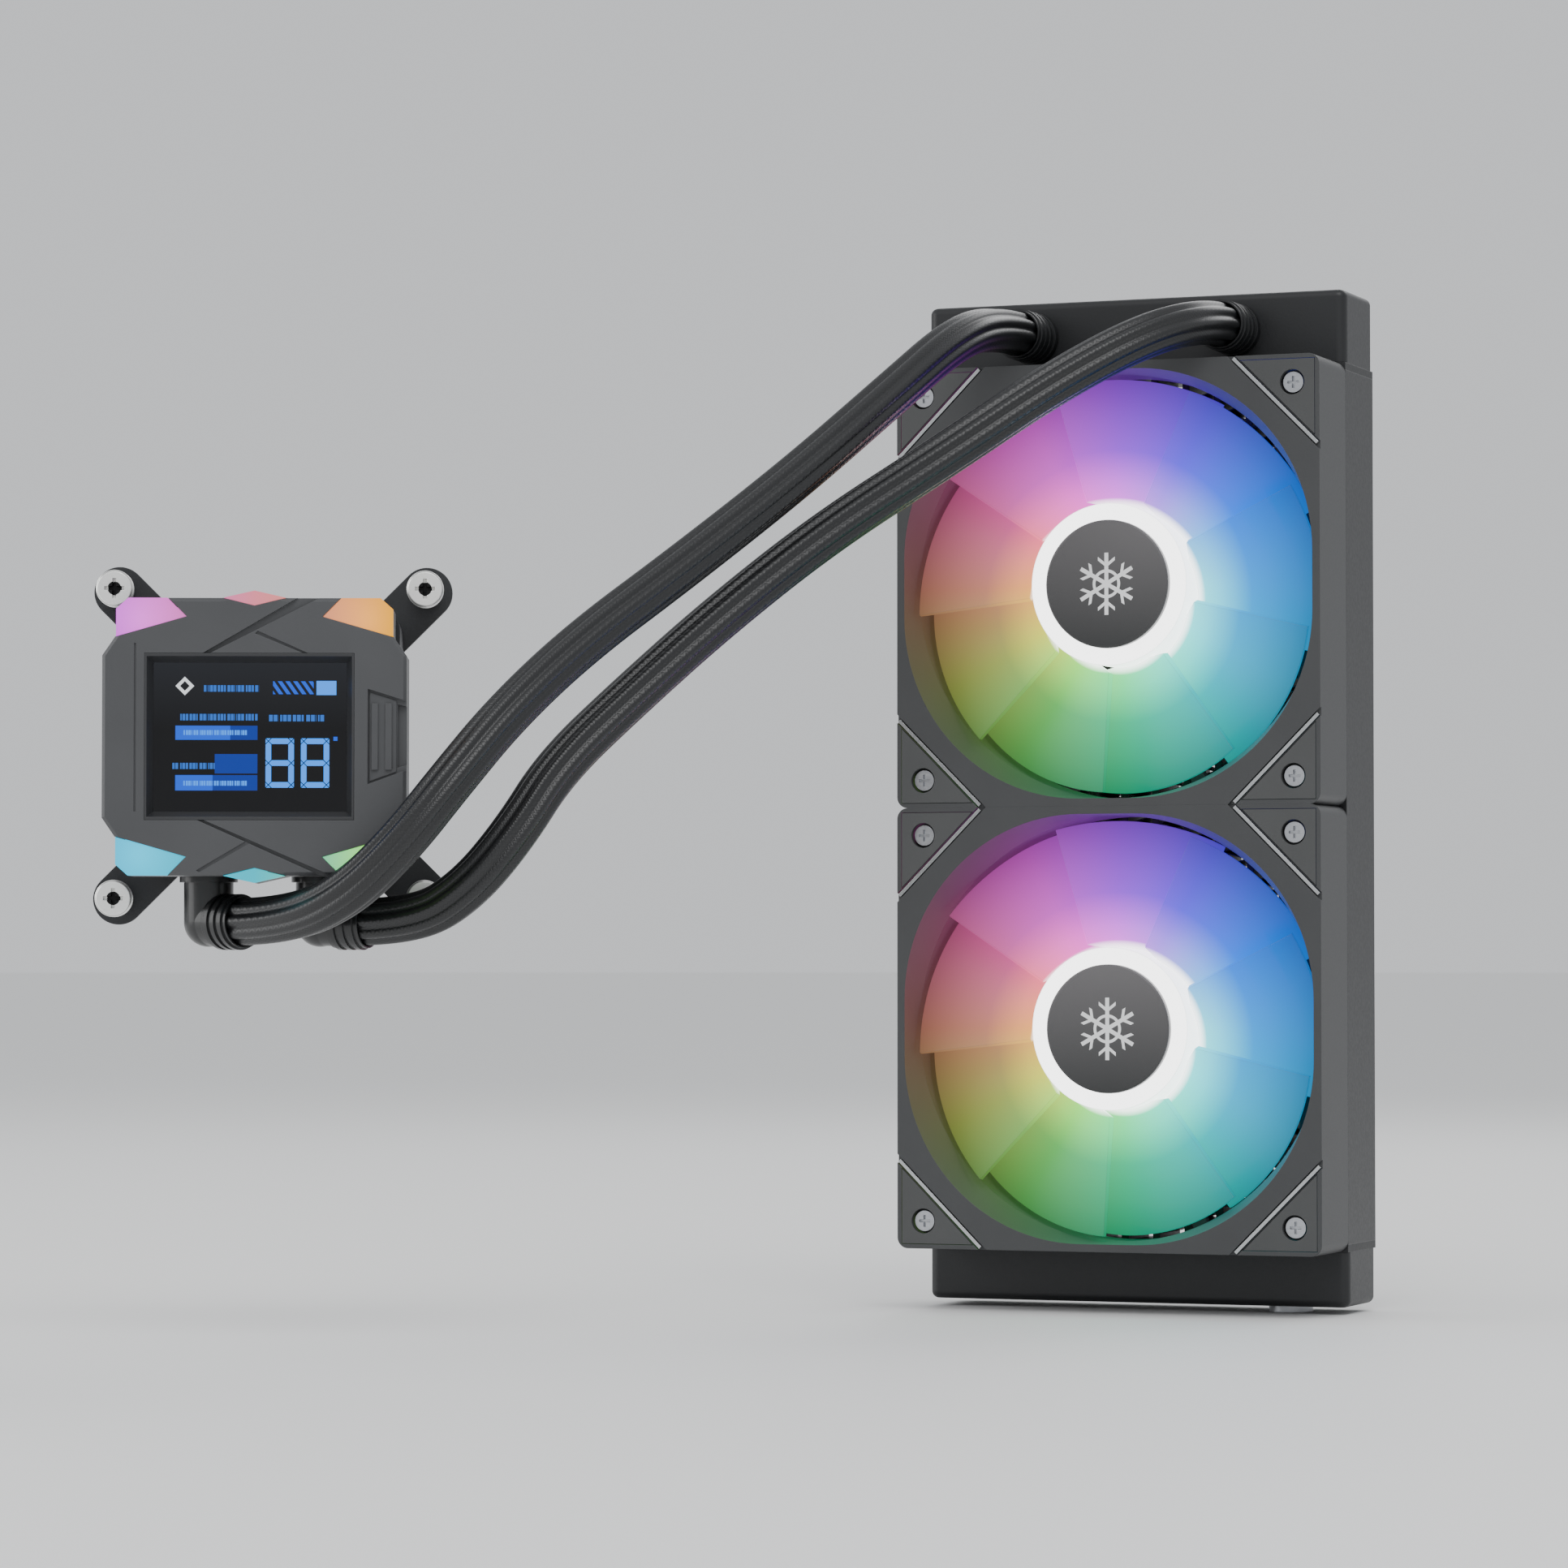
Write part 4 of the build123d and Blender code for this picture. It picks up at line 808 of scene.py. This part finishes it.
windows = Finish("lit_windows", emission_strength=1.5, specular_ior_level=0.4)
across, up = on_display(windows)
place = across.rising(-34.0, 34.0)
top_stops = [(0.0, linear("f05cff")), (0.5, linear("ff8ca0")), (1.0, linear("ffb010"))]
bottom_stops = [(0.0, linear("00ccf8")), (0.5, linear("00d0e8")), (1.0, linear("a4f800"))]
top_row = windows.add("ValToRGB", {"stops": top_stops}, {"Fac": place}).out("Color")
bottom_row = windows.add("ValToRGB", {"stops": bottom_stops}, {"Fac": place}).out("Color")
glow = windows.mix(bottom_row, top_row, up.rising(-5.0, 5.0))
lamp_distance = maths("SQRT", (abs(across) - 28.0) ** 2.0 + (abs(up) - 29.0) ** 2.0)
faded = 1 - lamp_distance.rising(1.0, 12.0) * 0.35
windows.set(emission_color=glow * faded, base_color=glow * 0.15)
milk = windows.noise(windows.place(), 0.5, 2.0)
windows.set(roughness=0.3 + milk * 0.12)
windows.bump(milk, 0.02, 0.3, windows.rounded(0.2))
paint(windows, "light_windows")

# %% [markdown]
# ## Display
# Behind the black glass a small colour screen shows the coolant's temperature, here with
# every segment of its two digits lit, as in a lamp test. Nearly everything on it is a
# rectangle, so the screen is a list of masks with a colour each, laid over each other in
# order. A line of writing is a rectangle cut into dashes, which says nothing on purpose.
# Fine gaps between the rows of lamps make it a screen up close.

# %% Display
screen = Finish("lit_screen", emission_strength=1.6, specular_ior_level=0.35)
across, up = on_display(screen)
bright, middle_blue, deep_blue, text_blue = "3090ff", "0a50d0", "082c88", "2060b8"


def box_mask(left, right, bottom, top):
    """1 inside a rectangle of the display."""
    return across.between(left, right) * up.between(bottom, top)


def dashes(left, right, bottom, top, word=2.3):
    """A rectangle cut into uneven dashes, like a line of writing too small to read."""
    steps = maths("FRACT", across / word)
    short = maths("FRACT", across / (word * 0.37)) < 0.8
    return box_mask(left, right, bottom, top) * (steps < 0.86) * short


def eight(left, bottom, width, height, stroke):
    """An eight in seven segments: a box with two windows, mitred where segments meet."""
    window = (height - 3 * stroke) / 2
    right, inner_left = left + width, left + stroke
    shape = box_mask(left, right, bottom, bottom + height)
    for sill in (bottom + stroke, bottom + 2 * stroke + window):
        shape = shape * (1 - box_mask(inner_left, right - stroke, sill, sill + window))
    from_upright = abs(abs(across - left - width / 2) - (width - stroke) / 2)
    quarter = (height - stroke) / 4
    from_level = abs(abs(abs(up - bottom - height / 2) - quarter) - quarter)
    mitres = abs(from_upright - from_level) < 0.13
    return shape * (1 - mitres)


mark = (abs(across + 17.3) + abs(up - 12.6)).between(1.2, 2.3)
hatch = box_mask(4.4, 14.4, 10.6, 13.8) * (maths("FRACT", (across + up * 0.7) / 1.9) < 0.55)
shown = [
    (mark, "d8dce0"),
    (dashes(-12.6, 0.9, 11.2, 12.8), text_blue),
    (hatch, middle_blue),
    (box_mask(15.1, 20.0, 10.4, 13.9), bright),
    (dashes(-18.5, 0.6, 4.1, 5.7), text_blue),
    (dashes(3.3, 17.2, 3.9, 5.5, 3.1), text_blue),
    (box_mask(-19.6, 0.6, -0.7, 2.8), deep_blue),
    (box_mask(-19.6, -6.1, -0.7, 2.8), middle_blue),
    (dashes(-17.6, -1.8, 0.5, 1.7, 1.7), bright),
    (dashes(-20.3, -9.9, -7.9, -6.4), text_blue),
    (box_mask(-9.9, 0.6, -9.0, -4.2), deep_blue),
    (box_mask(-19.6, 0.6, -13.2, -9.4), deep_blue),
    (box_mask(-19.6, -10.4, -13.2, -9.4), middle_blue),
    (dashes(-17.6, -1.8, -12.0, -10.8, 1.7), bright),
    (eight(2.6, -12.5, 7.0, 12.2, 1.4), bright),
    (eight(11.3, -12.5, 7.0, 12.2, 1.4), bright),
    (box_mask(19.3, 20.3, -0.9, 0.1), middle_blue),
]
picture = screen.mix(linear("010103"), linear("15171c"), up.rising(2.0, 18.0))
for mask, colour in shown:
    picture = screen.mix(picture, linear(colour), mask)
lamp_rows = 0.86 + (maths("FRACT", up / 0.25) < 0.8) * 0.14
smears = screen.noise(screen.place(), 5.0)
screen.set(emission_color=picture * lamp_rows, base_color=linear("020203"))
screen.set(roughness=0.16 + smears * 0.1)
screen.bump(smears, 0.004, 0.2)
paint(screen, "display_glass")
print(len(shown), "shapes on the display")

# %% [markdown]
# ## Springs
# A spring under each of the four screws presses the cold plate down. When the screw backs out
# its spring grows longer. Each spring is a fresh mesh, a wire swept along a coil round the
# screw's axis between the cold plate and the screw head. Its end turns lie flat, as on a
# ground compression spring.

# %% Springs
spring_bottom = -16.5
spring_top = -4.5
spring_radius = 3.4
wire_radius = 0.35
turns = 6.0
steps_per_turn = 40
wire_sides = 10


def spring_line(share):
    """Height and angle of the wire's middle at a share of its length."""
    flat = 1 / turns
    climb = (share - flat) / (1 - 2 * flat)
    smooth = min(1.0, max(0.0, climb))
    low = spring_bottom + wire_radius + 2 * wire_radius * min(share / flat, 1.0) * 0.5
    high = spring_top - wire_radius - 2 * wire_radius * min((1 - share) / flat, 1.0) * 0.5
    return low + (high - low) * smooth, 2 * math.pi * turns * share


def spring_mesh(name, across, up):
    """A tube swept along the spring's line, with closed ends."""
    build = bmesh.new()
    steps = int(turns * steps_per_turn)
    line = []
    for i in range(steps + 1):
        out, angle = spring_line(i / steps)
        spread = spring_radius * math.cos(angle), spring_radius * math.sin(angle)
        line.append(on_pump(across + spread[0], up + spread[1], out))
    rings = []
    for i, middle in enumerate(line):
        ahead = (line[min(i + 1, steps)] - line[max(i - 1, 0)]).normalized()
        side = ahead.cross(pump_out).normalized()
        rise = side.cross(ahead)
        ring = []
        for k in range(wire_sides):
            angle = 2 * math.pi * k / wire_sides
            reach = side * math.cos(angle) + rise * math.sin(angle)
            ring.append(build.verts.new(middle + reach * wire_radius * mm))
        rings.append(ring)
    for ring, following in zip(rings, rings[1:]):
        for k in range(wire_sides):
            after = (k + 1) % wire_sides
            build.faces.new((ring[k], ring[after], following[after], following[k]))
    build.faces.new(rings[0][::-1])
    build.faces.new(rings[-1])
    for face in build.faces:
        face.smooth = True
    bmesh.ops.recalc_face_normals(build, faces=build.faces)
    mesh = bpy.data.meshes.new(name)
    build.to_mesh(mesh)
    build.free()
    mesh.materials.append(spring_steel.material)
    return mesh


for number, (right, top) in enumerate(((-1, 1), (1, 1), (-1, -1), (1, -1)), 1):
    across, up = right * screw_offset, top * screw_offset
    mesh = spring_mesh(f"screw_coil_{number}", across, up)
    coil = bpy.data.objects.new(f"screw_coil_{number}", mesh)
    bpy.context.scene.collection.objects.link(coil)
    foot = on_pump(across, up, spring_bottom)
    head = on_pump(across, up, spring_top)
    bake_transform(coil)
    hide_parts(f"screw_spring_{number}")
    print(coil.name, "at", across, up, "with", len(mesh.polygons), "faces")
